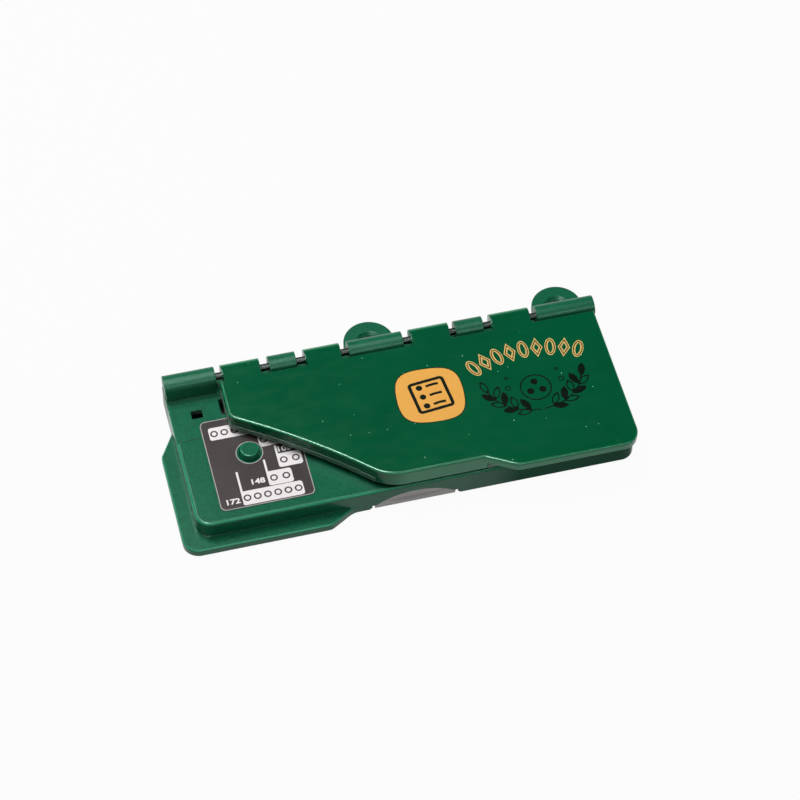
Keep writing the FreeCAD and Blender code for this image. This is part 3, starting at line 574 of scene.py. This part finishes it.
def turned_steel(name, base, roughness, along="X", grain=0.25):
    """Metal with tool marks across one axis, so many millimetres apart, and a faint dull bloom."""
    make = Finish(name, base, roughness, metallic=1.0)
    scale = [0.05, 0.05, 0.05]
    scale["XYZ".index(along)] = 1.0
    lines = make.noise(grain, 2.0, 0.6, make.stretched(scale))
    bloom = make.noise(3.5, 3.0)
    make.set("Base Color", make.mix(bloom, shade(base, 0.86), shade(base, 1.08)))
    make.set("Roughness", make.spread(bloom, 0.3, 0.7, roughness - 0.07, roughness + 0.10))
    make.set("Normal", make.bump(lines, 0.012, 0.4))
    return make.material


def printed(name, base, roughness=0.5, specular=0.2):
    """Screen-printed ink: slightly uneven cover and a fine orange-peel."""
    make = Finish(name, base, roughness, specular=specular)
    cover = make.noise(1.1, 3.0, 0.6)
    make.set("Base Color", make.mix(cover, shade(base, 0.93), shade(base, 1.05)))
    make.set("Roughness", make.spread(cover, 0.3, 0.7, roughness - 0.07, roughness + 0.07))
    make.set("Normal", make.bump(make.noise(0.35, 2.0), 0.008, 0.3))
    return make.material


def label_film(name, base):
    """Embossed polyester film with a fine linen grain."""
    make = Finish(name, base, 0.42, specular=0.30)
    grain = make.noise(0.3, 2.0, 0.6)
    speck = make.spread(grain, 0.62, 0.78, 0.0, 0.35)
    tint = make.clouded(base, 11.0, 3.0, 0.92, 1.10)
    make.set("Base Color", make.mix(speck, tint, shade(base, 1.8)))
    make.set("Roughness", make.spread(grain, 0.3, 0.7, 0.24, 0.32))
    make.set("Normal", make.bump(grain, 0.015, 0.4))
    return make.material


def rubber(name, base):
    """Dull foamed rubber."""
    make = Finish(name, base, 0.85)
    pores = make.cells(0.55)
    make.set("Base Color", make.mix(make.noise(2.0, 3.0), shade(base, 0.8), shade(base, 1.25)))
    make.set("Normal", make.bump(pores, 0.06, 0.6))
    return make.material


def find_or_make(name, maker, *values):
    """A material made once and shared by the operators."""
    return bpy.data.materials.get(name) or maker(name, *values)


SPRING_WIRE = ("spring_wire", turned_steel, srgb(150, 150, 152), 0.26, "Z", 0.1)


# ---- operators ---------------------------------------------------------------------------------


class PunchOperator:
    """What the operators share."""

    bl_options = {"REGISTER", "UNDO"}

    @property
    def settings(self):
        """The settings of the panel."""
        return bpy.context.scene.hole_punch


class HOLEPUNCH_OT_finishes(PunchOperator, bpy.types.Operator):
    """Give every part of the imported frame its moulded, metal or rubber finish"""

    bl_idname = "holepunch.finishes"
    bl_label = "Part Finishes"

    DULL_END = 78  # how far along the hinge the lid's walls are dull

    def execute(self, context):
        tones = self.settings.colours
        housing = find_or_make("matte_green", matte_plastic, tones.housing)
        back = NODES["lever_cover"].matrix_world.inverted()
        top = (back @ Vector((0, 0, LID_TOP))).z
        dull_end = (back @ (DRAWING + Vector((self.DULL_END, 0, 0)) * MM)).x
        cover = find_or_make("gloss_green", gloss_plastic, tones.lid, top, dull_end)
        inner = find_or_make("satin_green", satin_plastic, tones.inner)
        tray = find_or_make("satin_grey", satin_plastic, tones.tray, 0.30)
        rod = find_or_make("black_rod", turned_steel, srgb(58, 64, 61), 0.34)
        sheet = find_or_make("pressed_steel", turned_steel, srgb(176, 178, 178), 0.34)
        pin = find_or_make("ground_steel", turned_steel, srgb(190, 191, 193), 0.20, "Z", 0.15)
        wire = find_or_make(*SPRING_WIRE)
        zinc = find_or_make("zinc_plate", turned_steel, srgb(172, 176, 182), 0.30, "Z", 0.2)
        film = find_or_make("label_film", label_film, tones.label)
        pads = find_or_make("foam_rubber", rubber, srgb(34, 34, 34))
        wear = {
            housing: ["body_housing"],
            cover: ["lever_cover"],
            inner: ["lever_frame"],
            tray: ["chip_tray", "button_retainer"],
            rod: ["hinge_rod"],
            sheet: ["punch_frame", "presser_bar", "pin_clip_1", "pin_clip_2", "pin_clip_3"],
            pin: ["punch_pin_1", "punch_pin_2", "punch_pin_3"],
            wire: ["return_spring_1", "return_spring_2", "return_spring_3", "button_spring"],
            zinc: ["lever_screws", "frame_screws", "retainer_screws"],
            film: ["gauge_label"],
            pads: ["foot_pads"],
        }
        for material, names in wear.items():
            for name in names:
                mesh = NODES[name].data
                mesh.materials.clear()
                mesh.materials.append(material)
        return {"FINISHED"}


class HOLEPUNCH_OT_side_stop(PunchOperator, bpy.types.Operator):
    """Turn the side stop: a soft-edged post over a flange, bored for its spring"""

    bl_idname = "holepunch.side_stop"
    bl_label = "Side Stop"

    POST, BORE = 3.6 * MM, 2.7 * MM  # radii; the post is slimmer than its solid
    LEDGE, ROOF = 1.2 * MM, 1.6 * MM  # thickness of the flange and of the post's top
    SAME = 1e-7  # points closer than this are one

    def execute(self, context):
        low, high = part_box("stop_button")
        middle = (low + high) / 2
        flange = (high.x - low.x) / 2
        ledge, roof = low.z + self.LEDGE, high.z - self.ROOF
        profile = [
            (self.BORE, low.z),
            (flange, low.z),
            (flange, ledge),
            (self.POST, ledge),
            (self.POST, high.z),
        ]
        bm = bmesh.new()
        outer = [bm.verts.new((middle.x + r, middle.y, z)) for r, z in profile]
        top = bm.verts.new((middle.x, middle.y, high.z))
        inner = bm.verts.new((middle.x + self.BORE, middle.y, roof))
        under = bm.verts.new((middle.x, middle.y, roof))
        chain = [under, inner, *outer, top]
        edges = [bm.edges.new(pair) for pair in zip(chain, chain[1:])]
        bmesh.ops.spin(
            bm, geom=chain + edges, cent=middle, axis=UP, angle=math.tau, steps=56, use_merge=True
        )
        bmesh.ops.remove_doubles(bm, verts=bm.verts[:], dist=self.SAME)
        bmesh.ops.recalc_face_normals(bm, faces=bm.faces[:])

        def on_rim(vert):
            """Whether a point lies on the post's upper edge."""
            reach = (vert.co - middle).xy.length
            return abs(vert.co.z - high.z) < self.SAME and abs(reach - self.POST) < 10 * self.SAME

        rim = [e for e in bm.edges if all(on_rim(v) for v in e.verts)]
        bevel(bm, rim, self.settings.hardware.stop_edge, 5, "EDGES")
        for face in bm.faces:
            face.smooth = abs(face.normal.z) < 0.999
        tones = self.settings.colours
        green = find_or_make("matte_green", matte_plastic, tones.housing)
        piece = add_piece("stop_post", bm, green, "side_stop")
        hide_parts("stop_button")
        return {"FINISHED"}


def coil(name, node, wire, turns, material, bodies):
    """A round-wire spring in a node's place, closed at both ends."""
    low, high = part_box(node)
    middle = (low + high) / 2
    radius = (high.x - low.x) / 2 - wire / 2
    steps, sides = 28, 8  # along one turn, and round the wire
    bottom, top = low.z + wire / 2, high.z - wire / 2
    rise = wire * 1.04  # of a closed turn
    bm = bmesh.new()
    made = bmesh.ops.create_circle(bm, cap_ends=False, segments=sides, radius=wire / 2)
    stand = Matrix.Rotation(math.pi / 2, 4, "X")
    bmesh.ops.transform(
        bm,
        matrix=Matrix.Translation((middle.x + radius, middle.y, bottom)) @ stand,
        verts=made["verts"],
    )
    ring = bm.edges[:]
    start = ring[:]
    climb = top - bottom - 2 * rise
    for share, height in ((1.0, rise), (turns, climb), (1.0, rise)):
        count = max(6, round(steps * share))
        swept = bmesh.ops.spin(
            bm,
            geom=ring + list({v for e in ring for v in e.verts}),
            cent=middle,
            axis=UP,
            dvec=(0, 0, height / count),
            angle=math.tau * share,
            steps=count,
        )
        ring = [e for e in swept["geom_last"] if isinstance(e, bmesh.types.BMEdge)]
    bmesh.ops.contextual_create(bm, geom=start)
    bmesh.ops.contextual_create(bm, geom=ring)
    bmesh.ops.recalc_face_normals(bm, faces=bm.faces[:])
    for face in bm.faces:
        face.smooth = len(face.verts) == 4
    piece = add_piece(name, bm, material, None)
    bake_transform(piece)
    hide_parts(node)


class HOLEPUNCH_OT_springs(PunchOperator, bpy.types.Operator):
    """Wind the three return springs and the side stop's spring from round wire"""

    bl_idname = "holepunch.springs"
    bl_label = "Springs"

    def execute(self, context):
        sizes = self.settings.hardware
        wire = find_or_make(*SPRING_WIRE)
        for pin in "123":
            names = f"pin_spring_{pin}", f"return_spring_{pin}"
            coil(*names, sizes.pin_wire, sizes.pin_turns, wire, ("base", f"pin_{pin}"))
        names = "stop_spring", "button_spring"
        coil(*names, sizes.stop_wire, sizes.stop_turns, wire, ("base", "side_stop"))
        return {"FINISHED"}


class HOLEPUNCH_OT_gauge(PunchOperator, bpy.types.Operator):
    """Print the paper gauge: rim, post ring, sheet lines with their numbers, and hole tags"""

    bl_idname = "holepunch.gauge"
    bl_label = "Gauge Print"

    # left, front, right and rear of a tag, how many holes it shows, and where its line ends
    TAGS = (
        (19.6, -60.2, 44.1, -53.6, 6, -44.0),
        (31.3, -53.3, 41.2, -46.5, 2, -40.6),
        (37.0, -45.6, 46.7, -39.0, 2, -34.9),
        (31.6, -34.3, 44.5, -27.6, 3, None),
        (13.3, -26.9, 29.6, -20.8, 4, None),
    )
    NUMBERS = (("172", 16.0, -57.4), ("148", 27.5, -50.0), ("105", 40.9, -36.9))
    INSET, CORNER = 0.12, 2.3  # the rim's distance from the label's edge, and its corner radius
    POST_RING = (5.42, 0.3)  # radius and width of the ring round the post
    HOLE = (1.55, 0.62)  # radius and width of a hole ring on a tag
    POINT, BEND = 0.9, 1.1  # radii of a tag's front left corner and of its other corners

    def execute(self, context):
        tones, sizes = self.settings.colours, self.settings.prints
        rim = Ink(sizes.film)
        left, front = LABEL_LEFT + self.INSET, LABEL_FRONT + self.INSET
        right = LABEL_LEFT + LABEL_WIDTH - self.INSET
        rear = LABEL_FRONT + LABEL_DEPTH - self.INSET
        rim.frame(left, front, right, rear, self.CORNER, sizes.rim / MM)
        rim.ring(POST_X, POST_Y, *self.POST_RING, segments=64)
        pale = find_or_make("label_rim", printed, tones.rim)
        rim.piece("gauge_rim", LABEL_TOP, pale, "base", "label_grey")

        marks, holes = Ink(sizes.film), Ink(sizes.film)
        wide = sizes.line / MM
        for tag_left, tag_front, tag_right, tag_rear, count, line_rear in self.TAGS:
            corners = [
                (tag_left, tag_front, self.POINT),
                (tag_right, tag_front, self.BEND),
                (tag_right, tag_rear, self.BEND),
            ]
            if line_rear:
                corners += [
                    (tag_left + wide, tag_rear, 0),
                    (tag_left + wide, line_rear, 0),
                    (tag_left, line_rear, 0),
                ]
            else:
                corners += [(tag_left, tag_rear, self.BEND)]
            marks.panel(corners)
            middle = (tag_front + tag_rear) / 2
            pitch = (tag_right - tag_left) / count
            for index in range(count):
                x = tag_left + pitch * (index + 0.5)
                holes.ring(x, middle, *self.HOLE, segments=28)
        for words, x, y in self.NUMBERS:
            marks.numeral(words, x, y, sizes.numeral_width / MM, sizes.numeral_height / MM)
        white = find_or_make("white_print", printed, tones.white)
        marks.piece("gauge_marks", LABEL_TOP, white, "base", "label_grey")
        grey = find_or_make("tag_print", printed, tones.label)
        above = LABEL_TOP + sizes.film * LAYER
        holes.piece("gauge_holes", above, grey, "base", "label_grey")
        return {"FINISHED"}


class HOLEPUNCH_OT_badge(PunchOperator, bpy.types.Operator):
    """Print the round patch on the lid, with a punched sheet drawn on it"""

    bl_idname = "holepunch.badge"
    bl_label = "Lid Badge"

    CENTRE = (101.3, -31.9)
    TILT = math.radians(-4)
    EDGE, BEND = 0.36, 0.80  # width of the dark edge, and how full the patch's outline is
    # the drawn sheet round the centre: its outline, corner, line, turn, and where its middle is
    SHEET, SHEET_CORNER, SHEET_LINE = (-7.2, -7.8, 8.0, 7.8), 1.8, 1.35
    SHEET_TURN, SHEET_MIDDLE = math.radians(6), 0.4
    # its three rows, and where on a row its hole, the start and the end of its line are
    ROWS, MARKS = (-4.6, 0.0, 4.6), (-3.4, -0.6, 4.6)
    HOLE, LINE, BOW = 1.3, 1.5, 0.2  # a hole's radius, a line's width, and how far it bows

    def execute(self, context):
        tones, sizes = self.settings.colours, self.settings.prints
        x, y = self.CENTRE
        place = Matrix.Translation((x, y, 0)) @ Matrix.Rotation(self.TILT, 4, "Z")
        half_x, half_y = sizes.badge_width / MM / 2, sizes.badge_height / MM / 2
        for name, grow, tone, raised in (
            ("badge_edge", self.EDGE, tones.ink, 0.0),
            ("badge_ground", 0.0, tones.badge, LAYER),
        ):
            w, h = half_x + grow, half_y + grow
            bend_x, bend_y = w * self.BEND, h * self.BEND
            loop = [
                ((0, h), (-bend_x, h), (bend_x, h)),
                ((w, 0), (w, bend_y), (w, -bend_y)),
                ((0, -h), (bend_x, -h), (-bend_x, -h)),
                ((-w, 0), (-w, -bend_y), (-w, bend_y)),
            ]
            patch = Ink(sizes.film)
            patch.shape([loop], place)
            material = find_or_make(name, printed, tone, 0.34)
            patch.piece(name, LID_TOP + raised * sizes.film, material, "lever", "lever_green")
        drawing = Ink(sizes.film)
        left, front, right, rear = self.SHEET
        outline = (x + left, y + front, x + right, y + rear)
        drawing.frame(*outline, self.SHEET_CORNER, self.SHEET_LINE, self.SHEET_TURN)
        spin = Matrix.Rotation(self.SHEET_TURN, 2)
        x += self.SHEET_MIDDLE
        for row in self.ROWS:
            hole, start, end = (spin @ Vector((along, row)) for along in self.MARKS)
            drawing.disc(x + hole.x, y + hole.y, self.HOLE, 28)
            middle = (x + (start.x + end.x) / 2, y + (start.y + end.y) / 2 + self.BOW)
            points = [(x + start.x, y + start.y), middle, (x + end.x, y + end.y)]
            drawing.stroke(points, self.LINE)
        ink = find_or_make("badge_ink", printed, tones.ink, 0.4, 0.08)
        top = LID_TOP + 2 * LAYER * sizes.film
        drawing.piece("badge_sheet", top, ink, "lever", "lever_green")
        return {"FINISHED"}


class HOLEPUNCH_OT_arch(PunchOperator, bpy.types.Operator):
    """Print the arch of gold rings and lozenges on the lid"""

    bl_idname = "holepunch.arch"
    bl_label = "Gold Arch"

    CENTRE = (143.15, -70.6)
    REACH = math.radians(24.5)  # from the middle of the arch to its end
    # sides, share of the height, width of the band, distance of the fine line and its squeeze
    RING, LOZENGE = (40, 0.92, 1.30, 0.55, 0.51), (4, 1.04, 1.35, 0.90, 0.52)
    SQUEEZE, FINE = 0.52, 0.42  # a mark's width by its height, and the width of the fine line

    def execute(self, context):
        tones, sizes = self.settings.colours, self.settings.prints
        radius, tall = sizes.arch_radius / MM, sizes.arch_mark / MM / 2
        bands, lines = Ink(sizes.film), Ink(sizes.film)
        last = sizes.arch_count - 1
        for index in range(sizes.arch_count):
            angle = self.REACH * (1 - 2 * index / last)
            x = self.CENTRE[0] - radius * math.sin(angle)
            y = self.CENTRE[1] + radius * math.cos(angle)
            sides, share, band, inset, inner = self.LOZENGE if index % 2 else self.RING
            bands.ring(x, y, tall * share, band, sides, self.SQUEEZE, angle)
            lines.ring(x, y, tall * share - inset, self.FINE, sides, inner, angle)
        gold = find_or_make("gold_print", printed, tones.gold, 0.3)
        brown = find_or_make("brown_line", printed, tones.brown, 0.4)
        bands.piece("arch_gold", LID_TOP, gold, "lever", "lever_green")
        above = LID_TOP + LAYER * sizes.film
        lines.piece("arch_line", above, brown, "lever", "lever_green")
        return {"FINISHED"}


class HOLEPUNCH_OT_sprays(PunchOperator, bpy.types.Operator):
    """Print two leafy sprays round a punched disc on the lid"""

    bl_idname = "holepunch.sprays"
    bl_label = "Leaf Sprays"

    CENTRE = (143.15, -38.5)
    # where a leaf springs from the right-hand stem, its turn in degrees, and whether it is filled
    LEAVES = (
        (4.0, -9.7, -8, True),
        (4.6, -9.4, 62, False),
        (9.2, -8.2, 4, False),
        (9.6, -7.9, 78, True),
        (13.6, -5.6, 20, True),
        (13.9, -5.2, 96, False),
        (17.0, -2.2, 38, False),
        (17.1, -1.6, 112, True),
        (19.2, 1.9, 74, True),
    )
    STEM = ((0.6, -10.4), (7.0, -9.2), (13.4, -5.9), (17.6, -1.2), (19.4, 3.2))
    RISE, DISC = 0.6, 6.4  # the disc's place over the centre, and its radius
    HOLE_AT, HOLE = 2.9, 1.45  # the holes' distance from the disc's middle, and their radius
    # place and radius of the small rings beside the disc
    BERRIES = ((-11.0, 2.6, 1.2), (11.0, 2.6, 1.2), (-10.4, 7.6, 0.8), (10.4, 7.6, 0.8))
    HALF, HANDLE = 0.30, 0.3  # half a leaf's width and its handles' reach, by its length
    TIP, SIDE = 2.4, 1.5  # weight of an outlined leaf at its tips and sides, in lines

    def leaf(self, ink, x, y, turn, size, filled, line):
        """A pointed leaf that starts at x, y, filled or as an outline."""
        wide = size * self.HALF
        place = Matrix.Translation((x, y, 0)) @ Matrix.Rotation(turn, 4, "Z")

        def lens(start, end, half):
            """An outline with a point at each end."""
            reach = (end - start) * self.HANDLE
            return [
                ((start, 0), (start + reach, -half), (start + reach, half)),
                ((end, 0), (end - reach, half), (end - reach, -half)),
            ]

        loops = [lens(0, size, wide)]
        if not filled:
            tip = line * self.TIP
            loops.append(lens(tip, size - tip, wide - line * self.SIDE))
        ink.shape(loops, place)

    def execute(self, context):
        tones, sizes = self.settings.colours, self.settings.prints
        ink = Ink(sizes.film)
        x0, y0 = self.CENTRE
        size, line = sizes.leaf / MM, sizes.drawn / MM
        for side in (1, -1):
            for x, y, turn, filled in self.LEAVES:
                angle = math.radians(turn if side > 0 else 180 - turn)
                self.leaf(ink, x0 + side * x, y0 + y, angle, size, filled == (side > 0), line)
            ink.stroke([(x0 + side * x, y0 + y) for x, y in self.STEM], line * 1.2)
        middle = y0 + self.RISE
        ink.ring(x0, middle, self.DISC, line * 1.3, segments=48)
        for angle in (90, 210, 330):
            dx, dy = (self.HOLE_AT * f(math.radians(angle)) for f in (math.cos, math.sin))
            ink.disc(x0 + dx, middle + dy, self.HOLE, 28)
        for dx, dy, radius in self.BERRIES:
            ink.ring(x0 + dx, y0 + dy, radius, line, segments=24)
        dark = find_or_make("dark_print", printed, tones.ink, 0.32, 0.08)
        ink.piece("leaf_sprays", LID_TOP, dark, "lever", "lever_green")
        return {"FINISHED"}


class HOLEPUNCH_OT_stage(PunchOperator, bpy.types.Operator):
    """Set the pale floor, the soft lamps and the camera"""

    bl_idname = "holepunch.stage"
    bl_label = "Studio"

    # name, property with its power, width and height in metres, the direction it stands in, the
    # axis that its height follows, and whether it lights the punch or is only mirrored
    LAMPS = (
        ("key_lamp", "key_power", (0.32, 0.32), (-0.280, 0.415, 0.866), UP, True),
        ("top_lamp", "top_power", (0.5, 0.5), (-0.05, 0.10, 0.99), (0, 1, 0), True),
        ("strip_lamp", "strip_power", (0.38, 0.28), (-0.356, -0.196, 0.914), UP, False),
        ("front_lamp", "front_power", (1.0, 0.16), (0.164, -0.771, 0.616), UP, False),
    )
    LAMP_REACH, FLOOR = 0.9, 6.0  # metres to a lamp, and half the floor's width
    SKY_LOW, SKY_HIGH, SKY_TOP = 0.22, 0.58, 0.015  # where the dome darkens, and how dark it gets

    def floor(self):
        """A wide floor that looks white and keeps a faint shadow."""
        bm = bmesh.new()
        bmesh.ops.create_grid(bm, x_segments=1, y_segments=1, size=self.FLOOR)
        bmesh.ops.translate(bm, verts=bm.verts[:], vec=(0, 0, CAD_BOX[0].z))
        darker, grey, lighter = ((tone,) * 3 for tone in (0.35, 0.36, 0.37))
        make = Finish("studio_floor", grey, 0.9)
        make.set("Base Color", make.mix(make.noise(40.0, 2.0), darker, lighter))
        plain = make.add("ShaderNodeEmission").outputs[0]
        rays = make.add("ShaderNodeLightPath").outputs
        seen = make.sums("MAXIMUM", rays["Is Camera Ray"], rays["Is Glossy Ray"])
        seen = make.sums("MAXIMUM", seen, rays["Is Transmission Ray"])
        share = make.times(seen, 1 - self.settings.stage.shadow)
        make.show("Material Output", share, make.shader.outputs[0], plain)
        add_piece("floor", bm, make.material)

    def sky(self, context):
        """White to the camera, and a dimmer dome for the light and the reflections."""
        world = bpy.data.worlds.new("studio_sky")
        context.scene.world = world
        world.use_nodes = True
        make = Wiring(world.node_tree)
        ground = make.tree.nodes["Background"]
        make.join((1, 1, 1), ground.inputs["Color"])
        height = make.axis(make.add("ShaderNodeTexCoord").outputs["Generated"], "Z")
        ramp = make.add("ShaderNodeValToRGB", {0: height})
        stops = ramp.color_ramp.elements
        stops[0].position, stops[0].color = self.SKY_LOW, (1, 1, 1, 1)
        stops[1].position, stops[1].color = self.SKY_HIGH, (*(self.SKY_TOP,) * 3, 1)
        light = {"Color": ramp.outputs["Color"], "Strength": self.settings.stage.sky}
        dome = make.add("ShaderNodeBackground", light).outputs[0]
        seen = make.add("ShaderNodeLightPath").outputs["Is Camera Ray"]
        make.show("World Output", seen, dome, ground.outputs[0])

    def lamp(self, context, name, power, sizes, away, axis):
        """A soft oblong lamp that looks at the punch from a direction, its height along an axis."""
        light = bpy.data.lights.new(name, "AREA")
        light.shape = "RECTANGLE"
        light.energy = power
        light.size, light.size_y = sizes
        away = Vector(away).normalized()
        across = Vector(axis).cross(away).normalized()
        turn = Matrix((across, away.cross(across), away)).transposed().to_4x4()
        holder = bpy.data.objects.new(name, light)
        holder.matrix_world = Matrix.Translation(away * self.LAMP_REACH) @ turn
        context.scene.collection.objects.link(holder)
        return holder

    def camera(self, context):
        """The camera at the photograph's place."""
        setup = self.settings.stage
        a, e, roll = setup.azimuth, setup.elevation, setup.roll
        back = Vector((math.sin(a) * math.cos(e), -math.cos(a) * math.cos(e), math.sin(e)))
        level = Vector((math.cos(a), math.sin(a), 0))
        rise = back.cross(level)
        right = level * math.cos(roll) + rise * math.sin(roll)
        up = rise * math.cos(roll) - level * math.sin(roll)
        data = bpy.data.cameras.new("camera")
        data.lens = setup.lens
        data.sensor_width = 36.0
        data.sensor_fit = "HORIZONTAL"
        data.clip_start, data.clip_end = 0.01, 50.0
        holder = bpy.data.objects.new("camera", data)
        turn = Matrix((right, up, back)).transposed().to_4x4()
        place = Vector(setup.target) + back * setup.distance
        holder.matrix_world = Matrix.Translation(place) @ turn
        context.scene.collection.objects.link(holder)
        context.scene.camera = holder

    def execute(self, context):
        self.floor()
        self.sky(context)
        for name, prop, sizes, away, axis, lights in self.LAMPS:
            power = getattr(self.settings.stage, prop)
            self.lamp(context, name, power, sizes, away, axis).visible_diffuse = lights
        self.camera(context)
        context.scene.view_settings.view_transform = "Standard"
        return {"FINISHED"}


OPERATORS = (
    HOLEPUNCH_OT_finishes,
    HOLEPUNCH_OT_side_stop,
    HOLEPUNCH_OT_springs,
    HOLEPUNCH_OT_gauge,
    HOLEPUNCH_OT_badge,
    HOLEPUNCH_OT_arch,
    HOLEPUNCH_OT_sprays,
    HOLEPUNCH_OT_stage,
)


class HOLEPUNCH_PT_panel(bpy.types.Panel):
    """Lists the punch's operators and settings"""

    bl_idname = "HOLEPUNCH_PT_panel"
    bl_label = "Mini Hole Punch"
    bl_space_type = "VIEW_3D"
    bl_region_type = "UI"
    bl_category = "Hole Punch"

    def draw(self, context):
        for operator in OPERATORS:
            self.layout.operator(operator.bl_idname)
        settings = context.scene.hole_punch
        for group in (settings.colours, settings.prints, settings.hardware, settings.stage):
            box = self.layout.box()
            for name in group.bl_rna.properties.keys():
                if name not in ("name", "rna_type"):
                    box.prop(group, name)


CLASSES = (
    PunchColours,
    PunchPrints,
    PunchHardware,
    PunchStage,
    PunchSettings,
    *OPERATORS,
    HOLEPUNCH_PT_panel,
)


def register():
    """Registers the classes and the scene's settings."""
    for cls in CLASSES:
        bpy.utils.register_class(cls)
    bpy.types.Scene.hole_punch = bpy.props.PointerProperty(type=PunchSettings)


def unregister():
    """Removes the settings and the classes."""
    del bpy.types.Scene.hole_punch
    for cls in reversed(CLASSES):
        bpy.utils.unregister_class(cls)


def main():
    """Builds every piece and the stage."""
    register()
    for operator in OPERATORS:
        group, name = operator.bl_idname.split(".")
        getattr(getattr(bpy.ops, group), name)()


if __name__ == "__main__":
    main()
